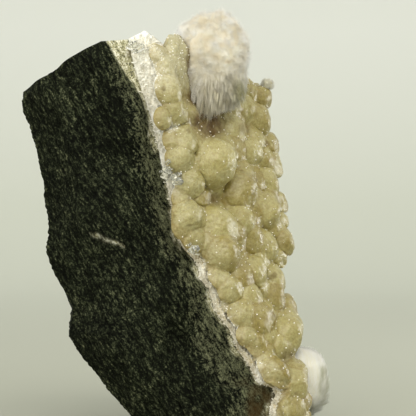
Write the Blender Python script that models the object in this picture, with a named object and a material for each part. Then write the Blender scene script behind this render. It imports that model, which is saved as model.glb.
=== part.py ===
"""An okenite puffball on its matrix: a broken block of basalt whose sloping side carries a
thin white druse, a crust of botryoidal balls on that, and three growths of okenite fibres.

Drawing units are millimetres: x to the right along the broken face, y into the block,
z up from the flat broken base. The part's own frame is metres, with its origin on the base.
"""

import math

import bmesh
import bpy
import numpy as np

MM = 0.001
GAP = 0.35                       # clear space between two pieces that touch in nature
BASE_CENTRE = (8.5, 20.0)        # x, y of the part's origin in drawing units

# ---------------------------------------------------------------- the basalt's arrises
# Each arris runs up the block. Its points are (x, y, z), base first.
LEFT_ARRIS = [
    (-12.0, 7.0, 0.0), (-10.1, 7.0, 5.1), (-14.7, 7.0, 9.6), (-18.0, 7.0, 14.2),
    (-23.1, 6.5, 21.4), (-26.4, 6.5, 25.4), (-25.1, 6.5, 32.6), (-28.2, 6.5, 39.7),
    (-31.0, 7.0, 46.5), (-31.0, 7.0, 52.9), (-32.5, 7.5, 58.8), (-34.3, 7.5, 68.9),
    (-36.3, 8.0, 76.6), (-37.6, 8.0, 84.2), (-37.6, 8.5, 87.5),
]
BEVEL_ARRIS = [
    (20.0, 1.5, 0.0), (18.7, 1.2, 6.0), (17.5, 1.0, 10.0), (13.0, 0.8, 13.7),
    (9.5, 0.5, 17.0), (6.7, 0.5, 22.5), (5.0, 0.3, 27.5), (2.0, 0.3, 32.5),
    (0.5, 0.3, 40.0), (-1.2, 0.3, 47.5), (-3.7, 0.3, 55.0), (-7.0, 0.3, 62.5),
    (-8.2, 0.5, 70.0), (-7.5, 0.5, 77.5), (-8.6, 0.5, 85.0), (-11.5, 0.8, 90.0),
    (-14.5, 1.0, 95.0), (-17.5, 1.5, 100.0),
]
CONTACT_ARRIS = [
    (25.0, 3.5, 0.0), (24.6, 3.5, 6.0), (24.9, 3.5, 8.0), (26.2, 3.8, 10.5),
    (25.4, 3.8, 12.6), (21.8, 3.5, 13.8), (20.0, 3.5, 17.5), (16.5, 3.5, 22.5),
    (14.6, 3.5, 27.5), (12.2, 3.5, 30.0), (10.6, 3.5, 33.0), (9.4, 3.5, 37.5),
    (7.4, 3.5, 39.8), (6.4, 3.5, 44.0), (3.2, 3.5, 47.5), (1.2, 3.5, 51.3),
    (0.2, 3.5, 57.0), (-0.6, 3.5, 61.5), (-2.4, 3.5, 68.5), (-3.5, 3.5, 74.0),
    (-4.8, 3.5, 79.5), (-6.6, 3.5, 85.0), (-8.6, 3.5, 91.0), (-9.8, 3.5, 95.0),
    (-10.8, 3.8, 100.5),
]
FAR_ARRIS = [
    (29.5, 9.0, 0.0), (29.4, 9.0, 6.0), (29.4, 11.0, 14.5), (27.8, 15.0, 19.0),
    (28.2, 17.0, 25.5), (25.5, 19.5, 31.0), (22.8, 21.8, 39.5), (23.4, 24.0, 44.0),
    (24.0, 29.0, 53.0), (22.6, 32.5, 63.5), (22.0, 36.0, 76.0), (19.9, 38.6, 86.5),
    (18.0, 39.5, 90.0),
]
BACK_RIGHT_ARRIS = [
    (27.0, 38.0, 0.0), (28.5, 39.5, 12.0), (27.0, 41.0, 30.0), (26.5, 41.5, 45.0),
    (25.0, 43.0, 62.0), (24.0, 43.5, 76.0), (20.5, 44.0, 87.0),
]
BACK_LEFT_ARRIS = [
    (-6.0, 37.0, 0.0), (-9.5, 38.5, 12.0), (-15.5, 40.5, 27.0), (-19.0, 39.5, 42.0),
    (-22.5, 41.0, 58.0), (-26.0, 38.5, 72.0), (-27.5, 36.5, 83.0),
]
NEAR_RIDGE_SHARE = 0.38          # where the nearest ridge lies between left and bevel
NEAR_RIDGE_Y = 0.4

# columns of facets on each face, from the left arris round to the left arris again
FACE_COLUMNS = {"left_front": 6, "front": 8, "bevel": 2, "contact": 4, "right": 5,
                "back": 7, "left_back": 6}
# how far each arris is worn back, left arris first; the contact face's two stay sharp
WEAR = (0.5, 0.3, 0.3, 0.0, 0.0, 2.0, 2.6)
WEAR_REACH = 3.5
BLOCK_ROWS = 30
CAP_STEPS = (0.14, 0.32, 0.55, 0.78)   # rings of facets between the block's rim and its middle
BASE_FLAT_TO = 5.0               # height over which the relief fades to the flat base

# Dents (depth > 0) and lumps (depth < 0) of the broken faces: x, y, z, radius, depth
CHIPS = [
    (-14.0, 0.0, 69.0, 7.5, 1.3), (-9.6, 0.0, 77.0, 4.5, -0.9), (4.0, 0.0, 24.0, 5.5, 1.4),
    (0.5, 0.0, 36.0, 5.0, -0.9), (-22.0, 0.5, 54.0, 6.5, -0.8), (-16.0, 0.0, 45.0, 6.0, 1.1),
    (-10.0, 0.0, 22.0, 8.0, -1.2), (-6.0, 0.0, 9.0, 7.0, 1.0), (-29.0, 4.0, 78.0, 6.5, 1.0),
    (-25.5, 3.0, 88.0, 4.5, -0.7), (23.5, 3.5, 7.0, 3.0, 0.9), (14.0, 0.5, 8.0, 6.0, -0.9),
    (-8.0, 40.0, 60.0, 13.0, 3.0), (10.0, 43.0, 32.0, 11.0, -2.6), (4.0, 43.0, 76.0, 12.0, 2.4),
    (-34.0, 22.0, 66.0, 10.0, 2.2), (-26.0, 24.0, 34.0, 9.0, -2.0), (29.0, 26.0, 12.0, 9.0, 1.8),
    (28.0, 32.0, 30.0, 8.0, -1.5), (-2.0, 20.0, 97.0, 9.0, 1.6), (-22.0, 20.0, 92.0, 8.0, -1.5),
]

# ---------------------------------------------------------------- druse and crust
OUTWARD = np.array((0.77, -0.54, 0.34))      # the contact face's outward direction
RIND_THIN = 1.5                              # thickness of the white druse under the crust
RIND_THICK = 3.6                             # what it gains at the top front corner
RIND_COLUMNS = 7
BED_THICK = 2.6                              # crust between the balls, above the druse

# Balls of the crust: x, z of the centre as the broken face is looked at, radius, lift.
# Lift is how far the centre stands above the druse, in radii.
BALLS = [
    (-0.7, 97.6, 3.1, 0.45), (-1.9, 92.5, 3.0, 0.45), (-0.9, 87.3, 3.8, 0.45),
    (0.7, 82.3, 3.4, 0.50), (1.8, 89.2, 1.9, 0.60), (1.3, 93.9, 2.1, 0.60),
    (-4.1, 96.0, 1.9, 0.40), (-2.4, 79.8, 2.3, 0.40), (2.8, 74.9, 3.5, 0.60),
    (-0.5, 74.6, 2.2, 0.35), (1.7, 70.1, 3.6, 0.50), (4.2, 64.2, 3.6, 0.55),
    (7.0, 60.3, 2.6, 0.60), (10.7, 69.6, 6.1, 0.85), (3.6, 55.8, 3.7, 0.55),
    (2.0, 60.2, 2.3, 0.35), (2.2, 52.4, 2.4, 0.35), (5.0, 50.2, 3.0, 0.40),
    (11.0, 52.8, 5.4, 0.50), (8.7, 49.0, 3.4, 0.50), (13.0, 46.4, 4.7, 0.75),
    (16.7, 54.6, 4.0, 0.60), (17.1, 61.9, 4.8, 0.65), (19.6, 72.5, 3.5, 0.50),
    (14.7, 78.2, 3.7, 0.15), (18.0, 84.1, 3.8, 0.35), (22.4, 81.6, 4.0, 0.50),
    (23.0, 88.0, 3.5, 0.50), (19.4, 89.4, 3.2, 0.35), (25.4, 74.7, 2.8, 0.50),
    (26.2, 69.3, 3.1, 0.50), (24.4, 64.4, 3.7, 0.50), (23.7, 56.9, 4.5, 0.60),
    (27.4, 59.1, 2.6, 0.50), (27.7, 54.3, 2.1, 0.50), (29.0, 48.7, 3.3, 0.80),
    (23.6, 47.8, 3.9, 0.60), (26.4, 44.6, 2.6, 0.40), (20.3, 41.2, 4.0, 0.60),
    (14.3, 37.2, 3.1, 0.50), (11.5, 40.2, 2.7, 0.45), (25.5, 34.5, 3.5, 0.50),
    (29.2, 31.9, 2.7, 0.50), (17.4, 31.0, 3.6, 0.50), (21.7, 29.6, 4.1, 0.60),
    (29.4, 25.6, 4.6, 0.60), (26.6, 22.3, 3.3, 0.60), (18.2, 25.8, 2.4, 0.45),
    (20.8, 23.3, 2.6, 0.45), (23.2, 21.4, 2.4, 0.45), (26.1, 16.1, 3.6, 0.55),
    (31.0, 13.1, 3.6, 0.50), (29.8, 6.8, 3.4, 0.40), (23.4, 18.2, 2.2, 0.40),
]
FILLER_SEED = 11
FILLER_TRIES = 3000
FILLER_RADII = (2.9, 4.5)
FILLER_LIFTS = (0.20, 0.50)
FILLER_SPACING = 0.64            # least centre distance, as a share of the two radii
# Places without fillers, where the crust is low: x, z as seen from the front, radius
HOLLOWS = [(9.5, 79.6, 4.8), (6.0, 86.5, 3.2), (11.4, 60.2, 2.0), (29.6, 20.4, 2.0),
           (19.0, 79.0, 2.0)]
CRUST_FLOOR = 0.8                # the crust ends this far above the base plane
CRUST_VOXEL = 0.8
CRUST_TRIANGLES = 3150

# ---------------------------------------------------------------- okenite
# Each growth: centre, radii of its matted body, the direction of its foot, how many tufts,
# seed, how finely the ball is divided, the longest tuft, and its droop per millimetre.
GROWTHS = {
    "okenite_puffball": ((10.6, 17.0, 96.2), (9.2, 9.0, 12.3), (-0.77, 0.54, -0.34),
                         120, 5, 4, 1.8, 0.5),
    "okenite_lower": ((32.8, 18.5, 13.2), (7.6, 7.6, 8.2), (-0.80, -0.55, 0.20),
                      50, 8, 3, 1.8, 0.3),
    "okenite_tuft": ((25.6, 38.0, 91.6), (1.7, 1.7, 1.5), (-0.60, 0.15, -0.78),
                     16, 3, 2, 0.5, 0.0),
}
BOXY = 2.4                       # 2 gives the matted body round sides, more gives flatter ones
ROOM = 0.40                      # how much wider the crust's socket is than a growth


# ---------------------------------------------------------------- mesh helpers
def clear_scene():
    for old in list(bpy.data.objects):
        bpy.data.objects.remove(old, do_unlink=True)


def finish(name, hex_colour, roughness):
    """A Principled material from an sRGB hex colour."""
    def linear(channel):
        return channel / 12.92 if channel <= 0.04045 else ((channel + 0.055) / 1.055) ** 2.4
    channels = [int(hex_colour[i:i + 2], 16) / 255.0 for i in (0, 2, 4)]
    made = bpy.data.materials.new(name)
    made.use_nodes = True
    shader = made.node_tree.nodes["Principled BSDF"]
    shader.inputs["Base Color"].default_value = [linear(c) for c in channels] + [1.0]
    shader.inputs["Roughness"].default_value = roughness
    shader.inputs["Metallic"].default_value = 0.0
    return made


def add_object(name, mesh, material=None, guide=False):
    made = bpy.data.objects.new(name, mesh)
    bpy.context.scene.collection.objects.link(made)
    if material:
        mesh.materials.clear()
        mesh.materials.append(material)
    if guide:
        made.hide_render = True
        made.display_type = "WIRE"
    return made


def mesh_from(name, points, faces):
    """A mesh in metres, in the part's frame, from points in drawing units."""
    placed = (np.asarray(points, float) - (*BASE_CENTRE, 0.0)) * MM
    mesh = bpy.data.meshes.new(name)
    mesh.from_pydata([tuple(p) for p in placed], [], faces)
    mesh.validate()
    return mesh


def from_bmesh(name, bm):
    mesh = bpy.data.meshes.new(name)
    bm.to_mesh(mesh)
    bm.free()
    return mesh


def face_outward(mesh):
    bm = bmesh.new()
    bm.from_mesh(mesh)
    bmesh.ops.remove_doubles(bm, verts=bm.verts, dist=1e-7)
    bmesh.ops.recalc_face_normals(bm, faces=bm.faces)
    bm.to_mesh(mesh)
    bm.free()


def evaluated(source, name):
    """The mesh that an object's modifiers make, as a mesh of its own."""
    graph = bpy.context.evaluated_depsgraph_get()
    mesh = bpy.data.meshes.new_from_object(source.evaluated_get(graph))
    mesh.name = name
    return mesh


def grown(source, distance_mm):
    """A guide copy of a solid with every face moved out by a distance."""
    bm = bmesh.new()
    bm.from_mesh(evaluated(source, "grown"))
    bm.normal_update()
    moves = [v.normal * (distance_mm * MM * min(v.calc_shell_factor(), 1.6))
             for v in bm.verts]
    for vert, move in zip(bm.verts, moves):
        vert.co += move
    mesh = from_bmesh(source.name + "_grown", bm)
    return add_object(source.name + "_grown", mesh, guide=True)


def cut(target, cutter):
    step = target.modifiers.new("cut_" + cutter.name, "BOOLEAN")
    step.operation = "DIFFERENCE"
    step.solver = "EXACT"
    step.object = cutter


def largest_body(mesh):
    """Keep the biggest connected body of a mesh, and drop what a cut left loose."""
    bm = bmesh.new()
    bm.from_mesh(mesh)
    bmesh.ops.triangulate(bm, faces=bm.faces)
    left = set(bm.verts)
    best = set()
    while left:
        body = set()
        stack = [left.pop()]
        while stack:
            vert = stack.pop()
            body.add(vert)
            for edge in vert.link_edges:
                other = edge.other_vert(vert)
                if other in left:
                    left.discard(other)
                    stack.append(other)
        if len(body) > len(best):
            best = body
    bmesh.ops.delete(bm, geom=[v for v in bm.verts if v not in best], context="VERTS")
    bm.to_mesh(mesh)
    bm.free()


# ---------------------------------------------------------------- the shape's functions
def waves(points, seed, wavelength, count=14):
    """A smooth random field between about -1 and 1: a sum of sine waves whose
    directions and phases are drawn from a seed, scaled to one wavelength."""
    rng = np.random.default_rng(seed)
    heads = rng.normal(size=(count, 3))
    heads /= np.linalg.norm(heads, axis=1)[:, None]
    rates = 2 * math.pi / (wavelength * rng.uniform(0.7, 1.5, count))
    phases = rng.uniform(0, 2 * math.pi, count)
    return np.sin(points @ (heads * rates[:, None]).T + phases).sum(1) / math.sqrt(count)


def smooth_step(value):
    value = np.clip(value, 0.0, 1.0)
    return value * value * (3 - 2 * value)


def along(arris, share):
    """The point of an arris at a share of its height."""
    points = np.array(arris)
    z = np.atleast_1d(share) * points[-1, 2]
    return np.stack([np.interp(z, points[:, 2], points[:, 0]),
                     np.interp(z, points[:, 2], points[:, 1]), z], axis=-1)


def near_ridge(share):
    left, bevel = along(LEFT_ARRIS, share), along(BEVEL_ARRIS, share)
    ridge = left + (bevel - left) * NEAR_RIDGE_SHARE
    ridge[:, 1] = NEAR_RIDGE_Y
    return ridge


def contact(across, share):
    """The contact face: straight lines from the contact arris to the far arris."""
    near, far = along(CONTACT_ARRIS, share), along(FAR_ARRIS, share)
    return near + (far - near) * np.atleast_1d(across)[:, None]


def rind_thickness(across, share):
    top_corner = smooth_step((share - 0.55) / 0.4) * smooth_step(1.0 - across * 2.2)
    return RIND_THIN + RIND_THICK * top_corner


def seat(x, z, height):
    """The point that shows at x, z from the front and stands at a height above the
    contact face: the place on the face is found by going to and fro a few times."""
    share = z / 97.0
    for _ in range(12):
        near, far = along(CONTACT_ARRIS, share)[0], along(FAR_ARRIS, share)[0]
        across = (x - height * OUTWARD[0] - near[0]) / (far[0] - near[0])
        foot_z = near[2] + across * (far[2] - near[2])
        share *= (z - height * OUTWARD[2]) / foot_z
    return across, share, contact(across, share)[0] + height * OUTWARD


# ---------------------------------------------------------------- basalt
def rings_to_mesh(name, rings, pole_low, pole_high):
    """A closed skin of rings of equal length between two poles."""
    count = len(rings[0])
    points = [tuple(p) for ring in rings for p in ring] + [tuple(pole_low), tuple(pole_high)]
    low, high = len(points) - 2, len(points) - 1
    faces = []
    for row in range(len(rings) - 1):
        for i in range(count):
            a, b = row * count + i, row * count + (i + 1) % count
            faces.append((a, b, b + count, a + count))
    top = (len(rings) - 1) * count
    for i in range(count):
        faces.append(((i + 1) % count, i, low))
        faces.append((top + i, top + (i + 1) % count, high))
    mesh = mesh_from(name, points, faces)
    face_outward(mesh)
    return mesh


def block_shares():
    return np.linspace(0.0, 1.0, BLOCK_ROWS + 1)


def block_ring(share):
    """One ring round the block and how much of the relief each point takes. The
    contact face takes none, so that the druse lies flat on it."""
    corners = [along(LEFT_ARRIS, share)[0], near_ridge(share)[0], along(BEVEL_ARRIS, share)[0],
               along(CONTACT_ARRIS, share)[0], along(FAR_ARRIS, share)[0],
               along(BACK_RIGHT_ARRIS, share)[0], along(BACK_LEFT_ARRIS, share)[0]]
    middle = np.mean(corners, axis=0)
    points, weights = [], []
    for i, columns in enumerate(FACE_COLUMNS.values()):
        following = (i + 1) % len(corners)
        start, end = corners[i], corners[following]
        width = np.linalg.norm(end - start)
        for k in range(columns):
            t = k / columns
            spot = start + (end - start) * t
            worn = (WEAR[i] * math.exp(-(width * t / WEAR_REACH) ** 2)
                    + WEAR[following] * math.exp(-(width * (1 - t) / WEAR_REACH) ** 2))
            inward = (middle - spot) / np.linalg.norm(middle - spot)
            points.append(spot + inward * worn)
            near_start = smooth_step(t * 2.0) if WEAR[i] == 0 else 1.0
            near_end = smooth_step((1 - t) * 2.0) if WEAR[following] == 0 else 1.0
            weights.append(0.0 if i == 3 else float(near_start * near_end))
    return np.array(points), np.array(weights)


def roughened(points, weights):
    """Points moved across the block's axis by the relief: two scales of waves, the
    finer one drawn out along the bedding, and the chips."""
    middle = np.array((0.0, 20.0, 0.0)) + points * (0, 0, 1)
    middle[:, 0] = 8.0 - points[:, 2] * 0.18
    outward = points - middle
    outward /= np.linalg.norm(outward, axis=1)[:, None]
    bedding = points * (1.0, 1.0, 0.45) + points[:, 2:3] * (0.15, 0, 0)
    back = smooth_step((points[:, 1] - 10.0) / 12.0)
    depth = (0.55 + 0.75 * back) * waves(points, 21, 17.0) + 0.38 * waves(bedding, 22, 6.5)
    for x, y, z, radius, chip in CHIPS:
        reach = np.linalg.norm((points - (x, y, z)) / (radius, radius * 1.4, radius), axis=1)
        depth = depth - chip * np.exp(-reach ** 2)
    fade = smooth_step(points[:, 2] / BASE_FLAT_TO)
    return points + outward * (depth * weights * fade)[:, None]


def top_slope(rim):
    """The tilted plane nearest to the rim, as z = a x + b y + c."""
    flat = np.column_stack([rim[:, 0], rim[:, 1], np.ones(len(rim))])
    return np.linalg.lstsq(flat, rim[:, 2], rcond=None)[0]


def cap_ring(rim, slope, step):
    """A ring of the broken top: drawn in from the rim by a share, and led from the
    rim's own height to the tilted plane with its relief."""
    middle = rim.mean(0)
    ring = rim + (middle - rim) * step
    plane = ring[:, 0] * slope[0] + ring[:, 1] * slope[1] + slope[2]
    relief = 1.3 * waves(ring * (1, 1, 0), 23, 14.0) + 0.5 * waves(ring * (1, 1, 0), 24, 6.0)
    led = smooth_step(step * 2.2)
    ring[:, 2] = ring[:, 2] * (1 - led) + (plane + relief) * led
    return ring


def build_basalt(material):
    rings = []
    for share in block_shares():
        points, weights = block_ring(share)
        rings.append(roughened(points, weights))
    rim = rings[-1]
    slope = top_slope(rim)
    for step in CAP_STEPS:
        rings.append(cap_ring(rim, slope, step))
    mesh = rings_to_mesh("basalt_matrix", rings, rings[0].mean(0),
                         cap_ring(rim, slope, 1.0).mean(0))
    return add_object("basalt_matrix", mesh, material)


# ---------------------------------------------------------------- druse
def slab_mesh(name, low, high):
    """A closed slab between two grids of points of the same size."""
    rows, columns = low.shape[:2]
    points = np.concatenate([low.reshape(-1, 3), high.reshape(-1, 3)])
    offset = rows * columns
    faces = []
    for r in range(rows - 1):
        for c in range(columns - 1):
            a = r * columns + c
            quad = (a, a + 1, a + columns + 1, a + columns)
            faces.append(quad)
            faces.append(tuple(offset + i for i in reversed(quad)))
    rim = ([(0, c) for c in range(columns - 1)]
           + [(r, columns - 1) for r in range(rows - 1)]
           + [(rows - 1, c) for c in range(columns - 1, 0, -1)]
           + [(r, 0) for r in range(rows - 1, 0, -1)])
    ids = [r * columns + c for r, c in rim]
    for i, a in enumerate(ids):
        b = ids[(i + 1) % len(ids)]
        faces.append((b, a, offset + a, offset + b))
    mesh = mesh_from(name, points, faces)
    face_outward(mesh)
    return mesh


def sheet_grids(across_range, columns, rows, lift_low, lift_high, inset=0.0):
    """Two grids over the contact face, lifted off it by two heights, on rows of the
    block's own. The upper one is drawn in a little at its rim, so that the slab has a
    sloping edge."""
    across, share = np.meshgrid(np.linspace(*across_range, columns), rows)
    shape = across.shape
    foot = contact(across.ravel(), share.ravel()).reshape(*shape, 3)
    low = foot + OUTWARD * lift_low(across, share)[..., None]
    pulled = across + inset * (0.5 - across) * 2 / np.maximum(
        np.linalg.norm(foot[:, -1:] - foot[:, :1], axis=2), 1.0)
    high = contact(pulled.ravel(), share.ravel()).reshape(*shape, 3)
    high = high + OUTWARD * lift_high(across, share)[..., None]
    return low, high


def build_rind(material):
    """The druse: a thin slab on the contact face with a lumpy outer side."""
    def outer(across, share):
        foot = contact(across.ravel(), share.ravel())
        lumps = waves(foot, 31, 5.0).reshape(across.shape)
        edge = smooth_step((0.12 - np.abs(across - 0.06)) / 0.12)
        return GAP + rind_thickness(across, share) + 0.35 * lumps * edge
    low, high = sheet_grids((0.0, 0.985), RIND_COLUMNS, block_shares()[1:],
                            lambda a, s: np.full(a.shape, GAP), outer, inset=0.5)
    return add_object("druse_rind", slab_mesh("druse_rind", low, high), material)


# ---------------------------------------------------------------- crust
def all_balls():
    """The named balls, then fillers thrown on the free places of the face: centre and
    radius of each."""
    placed = []
    for x, z, radius, lift in BALLS:
        height = GAP + RIND_THIN + lift * radius
        for _ in range(3):
            across, share, centre = seat(x, z, height)
            height = GAP + float(rind_thickness(across, share)) + lift * radius
        placed.append((centre, radius))
    rng = np.random.default_rng(FILLER_SEED)
    for _ in range(FILLER_TRIES):
        across, share = rng.uniform(0.0, 1.03), rng.uniform(0.02, 0.995)
        radius = rng.uniform(*FILLER_RADII)
        near = contact(0.0, share)[0]
        foot = contact(across, share)[0]
        from_edge = np.linalg.norm(foot - near)
        edge_room = 1.8 + radius * 0.5 + 3.0 * float(smooth_step((share - 0.7) / 0.25))
        if from_edge < edge_room:
            continue
        height = GAP + float(rind_thickness(across, share)) + radius * rng.uniform(*FILLER_LIFTS)
        centre = foot + OUTWARD * height
        if any(math.hypot(centre[0] - x, centre[2] - z) < size + 0.6 * radius
               for x, z, size in HOLLOWS):
            continue
        if all(np.linalg.norm(centre - other) > FILLER_SPACING * (radius + size)
               for other, size in placed):
            placed.append((centre, radius))
    return placed


def build_crust(material, cutters):
    """The crust: the balls and a thin bed joined into one skin, thinned to few
    facets, and cut clear of what it sits on and of the okenite."""
    skin = bmesh.new()
    for centre, radius in all_balls():
        made = bmesh.ops.create_icosphere(skin, subdivisions=3, radius=radius * MM)
        shift = (np.array(centre) - (*BASE_CENTRE, 0.0)) * MM
        bmesh.ops.translate(skin, verts=made["verts"], vec=tuple(shift))
    low, high = sheet_grids(
        (0.08, 1.0), 7, block_shares()[1:-1], lambda a, s: np.full(a.shape, -0.5),
        lambda a, s: GAP + rind_thickness(a, s) + BED_THICK, inset=0.8)
    bed = slab_mesh("bed", low, high)
    skin.from_mesh(bed)
    raw = add_object("crust_raw", from_bmesh("crust_raw", skin), guide=True)
    joined = raw.modifiers.new("join", "REMESH")
    joined.mode = "VOXEL"
    joined.voxel_size = CRUST_VOXEL * MM
    fine = add_object("crust_fine", evaluated(raw, "crust_fine"), guide=True)
    faces = sum(len(p.vertices) - 2 for p in fine.data.polygons)
    thin = fine.modifiers.new("thin", "DECIMATE")
    thin.ratio = CRUST_TRIANGLES / faces
    plain = add_object("crust_plain", evaluated(fine, "crust_plain"), guide=True)
    for cutter in cutters:
        cut(plain, cutter)
    mesh = evaluated(plain, "botryoidal_crust")
    largest_body(mesh)
    return add_object("botryoidal_crust", mesh, material)


def floor_cutter():
    """A box under the height at which the crust ends."""
    bm = bmesh.new()
    bmesh.ops.create_cube(bm, size=0.2)
    bmesh.ops.translate(bm, verts=bm.verts, vec=(0, 0, CRUST_FLOOR * MM - 0.1))
    return add_object("floor_cutter", from_bmesh("floor_cutter", bm), guide=True)


# ---------------------------------------------------------------- okenite
def tuft_heads(count, seed):
    """Directions spread evenly over a ball along a golden-angle spiral, each a little
    off its place."""
    rng = np.random.default_rng(seed)
    rank = np.arange(count) + 0.5
    z = 1 - 2 * rank / count
    turn = math.pi * (1 + math.sqrt(5)) * rank
    flat = np.sqrt(1 - z * z)
    heads = np.stack([flat * np.cos(turn), flat * np.sin(turn), z], axis=1)
    heads += rng.normal(scale=0.10, size=heads.shape)
    return heads / np.linalg.norm(heads, axis=1)[:, None], rng


def okenite_mesh(name, centre, radii, foot, tufts, seed, detail, long_tuft, hang,
                 room=0.0):
    """A ball of fibre tufts: each tuft is a cone on the ball. On the upper side they
    are short and matted, below they are long and droop, and at the foot there are
    none. With room, the ball is that much wider and bare."""
    bm = bmesh.new()
    bmesh.ops.create_icosphere(bm, subdivisions=detail, radius=1.0)
    heads, rng = tuft_heads(tufts, seed)
    below = smooth_step(0.35 - heads[:, 2])
    length = rng.uniform(0.45, 1.0, tufts) * (0.35 + 0.65 * below) * long_tuft
    width = rng.uniform(1.5, 2.3, tufts) / math.sqrt(tufts)
    ways = np.array([v.co[:] for v in bm.verts])
    ways /= np.linalg.norm(ways, axis=1)[:, None]
    angle = np.arccos(np.clip(ways @ heads.T, -1, 1))
    shag = (length * np.clip(1 - angle / width, 0, 1)).max(1)
    shag *= smooth_step((0.25 - ways @ np.array(foot)) / 0.4) * (room == 0.0)
    body = ((np.abs(ways) ** BOXY).sum(1) ** (-1 / BOXY)
            * (1 + 0.035 * waves(ways * 9.0, seed + 40, 7.0)))
    points = ways * radii * body[:, None] + ways * (shag + room)[:, None]
    points[:, 2] -= hang * shag * smooth_step(0.5 - ways[:, 2])
    placed = (points + centre - (*BASE_CENTRE, 0.0)) * MM
    for vert, spot in zip(bm.verts, placed):
        vert.co = spot
    return from_bmesh(name, bm)


def seated(name, material, host, shape):
    """An okenite ball with a flat where it grew on the pieces in host, and the guide
    that cuts room for it in the crust."""
    whole = add_object(name + "_whole", okenite_mesh(name, *shape), guide=True)
    for piece in host:
        cut(whole, piece)
    mesh = evaluated(whole, name)
    largest_body(mesh)
    add_object(name, mesh, material)
    return add_object(name + "_room", okenite_mesh(name, *shape, room=ROOM), guide=True)


# ---------------------------------------------------------------- the part
def main():
    clear_scene()
    basalt_finish = finish("basalt", "2a2c22", 0.85)
    druse_finish = finish("white_druse", "d8d6c4", 0.55)
    crust_finish = finish("prehnite_crust", "c4b985", 0.30)
    okenite_finish = finish("okenite", "e4dfd0", 0.90)

    basalt = build_basalt(basalt_finish)
    rind = build_rind(druse_finish)
    host = [grown(basalt, GAP), grown(rind, GAP)]
    rooms = [seated(name, okenite_finish, host, shape) for name, shape in GROWTHS.items()]
    build_crust(crust_finish, rooms + [floor_cutter()] + host[::-1])


main()
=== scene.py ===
"""Looks of a hand specimen: white okenite balls on a botryoidal crust, which sits on a thin
druse and a broken block of basalt.

Shapes are worked out in drawing units, millimetres: x to the right along the broken face,
y into the block, z up from the flat broken base. to_frame() turns them into the part's own
frame, in metres. Every piece is a surface over a grid of two parameters, many balls joined
into one skin, or a small form repeated as one array.
"""

import math

import bpy
import numpy as np
from bpy.props import FloatProperty, FloatVectorProperty, IntProperty, PointerProperty
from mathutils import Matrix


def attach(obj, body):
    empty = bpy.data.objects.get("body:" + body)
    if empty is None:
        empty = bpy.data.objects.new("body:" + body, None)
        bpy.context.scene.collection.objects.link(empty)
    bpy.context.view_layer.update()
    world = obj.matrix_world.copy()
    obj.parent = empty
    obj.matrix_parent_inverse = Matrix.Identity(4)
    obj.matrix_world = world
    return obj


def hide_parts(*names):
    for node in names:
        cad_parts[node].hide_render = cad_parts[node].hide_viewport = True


bl_info = {
    "name": "Okenite puffball specimen",
    "version": (1, 0, 0),
    "blender": (4, 5, 0),
    "location": "3D View > Sidebar > Specimen",
    "description": "Builds the finished surfaces of an okenite puffball on its matrix",
    "category": "Object",
}

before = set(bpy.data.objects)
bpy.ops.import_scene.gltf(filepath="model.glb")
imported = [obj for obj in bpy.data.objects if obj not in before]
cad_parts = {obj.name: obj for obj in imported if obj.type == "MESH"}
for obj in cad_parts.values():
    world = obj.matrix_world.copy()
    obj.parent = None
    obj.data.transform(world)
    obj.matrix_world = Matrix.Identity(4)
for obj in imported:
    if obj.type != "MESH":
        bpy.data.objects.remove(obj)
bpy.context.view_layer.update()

MM = 0.001
GAP = 0.35                       # clear space between two pieces that touch in nature
BASE_CENTRE = (8.5, 20.0)        # x, y of the part's origin in drawing units

# ---------------------------------------------------------------- the basalt's arrises
# Each arris runs up the block. Its points are (x, y, z), base first.
LEFT_ARRIS = [
    (-12.0, 7.0, 0.0), (-10.1, 7.0, 5.1), (-14.7, 7.0, 9.6), (-18.0, 7.0, 14.2),
    (-23.1, 6.5, 21.4), (-26.4, 6.5, 25.4), (-25.1, 6.5, 32.6), (-28.2, 6.5, 39.7),
    (-31.0, 7.0, 46.5), (-31.0, 7.0, 52.9), (-32.5, 7.5, 58.8), (-34.3, 7.5, 68.9),
    (-36.3, 8.0, 76.6), (-37.6, 8.0, 84.2), (-37.6, 8.5, 87.5),
]
BEVEL_ARRIS = [
    (20.0, 1.5, 0.0), (18.7, 1.2, 6.0), (17.5, 1.0, 10.0), (13.0, 0.8, 13.7),
    (9.5, 0.5, 17.0), (6.7, 0.5, 22.5), (5.0, 0.3, 27.5), (2.0, 0.3, 32.5),
    (0.5, 0.3, 40.0), (-1.2, 0.3, 47.5), (-3.7, 0.3, 55.0), (-7.0, 0.3, 62.5),
    (-8.2, 0.5, 70.0), (-7.5, 0.5, 77.5), (-8.6, 0.5, 85.0), (-11.5, 0.8, 90.0),
    (-14.5, 1.0, 95.0), (-17.5, 1.5, 100.0),
]
CONTACT_ARRIS = [
    (25.0, 3.5, 0.0), (24.6, 3.5, 6.0), (24.9, 3.5, 8.0), (26.2, 3.8, 10.5),
    (25.4, 3.8, 12.6), (21.8, 3.5, 13.8), (20.0, 3.5, 17.5), (16.5, 3.5, 22.5),
    (14.6, 3.5, 27.5), (12.2, 3.5, 30.0), (10.6, 3.5, 33.0), (9.4, 3.5, 37.5),
    (7.4, 3.5, 39.8), (6.4, 3.5, 44.0), (3.2, 3.5, 47.5), (1.2, 3.5, 51.3),
    (0.2, 3.5, 57.0), (-0.6, 3.5, 61.5), (-2.4, 3.5, 68.5), (-3.5, 3.5, 74.0),
    (-4.8, 3.5, 79.5), (-6.6, 3.5, 85.0), (-8.6, 3.5, 91.0), (-9.8, 3.5, 95.0),
    (-10.8, 3.8, 100.5),
]
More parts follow.
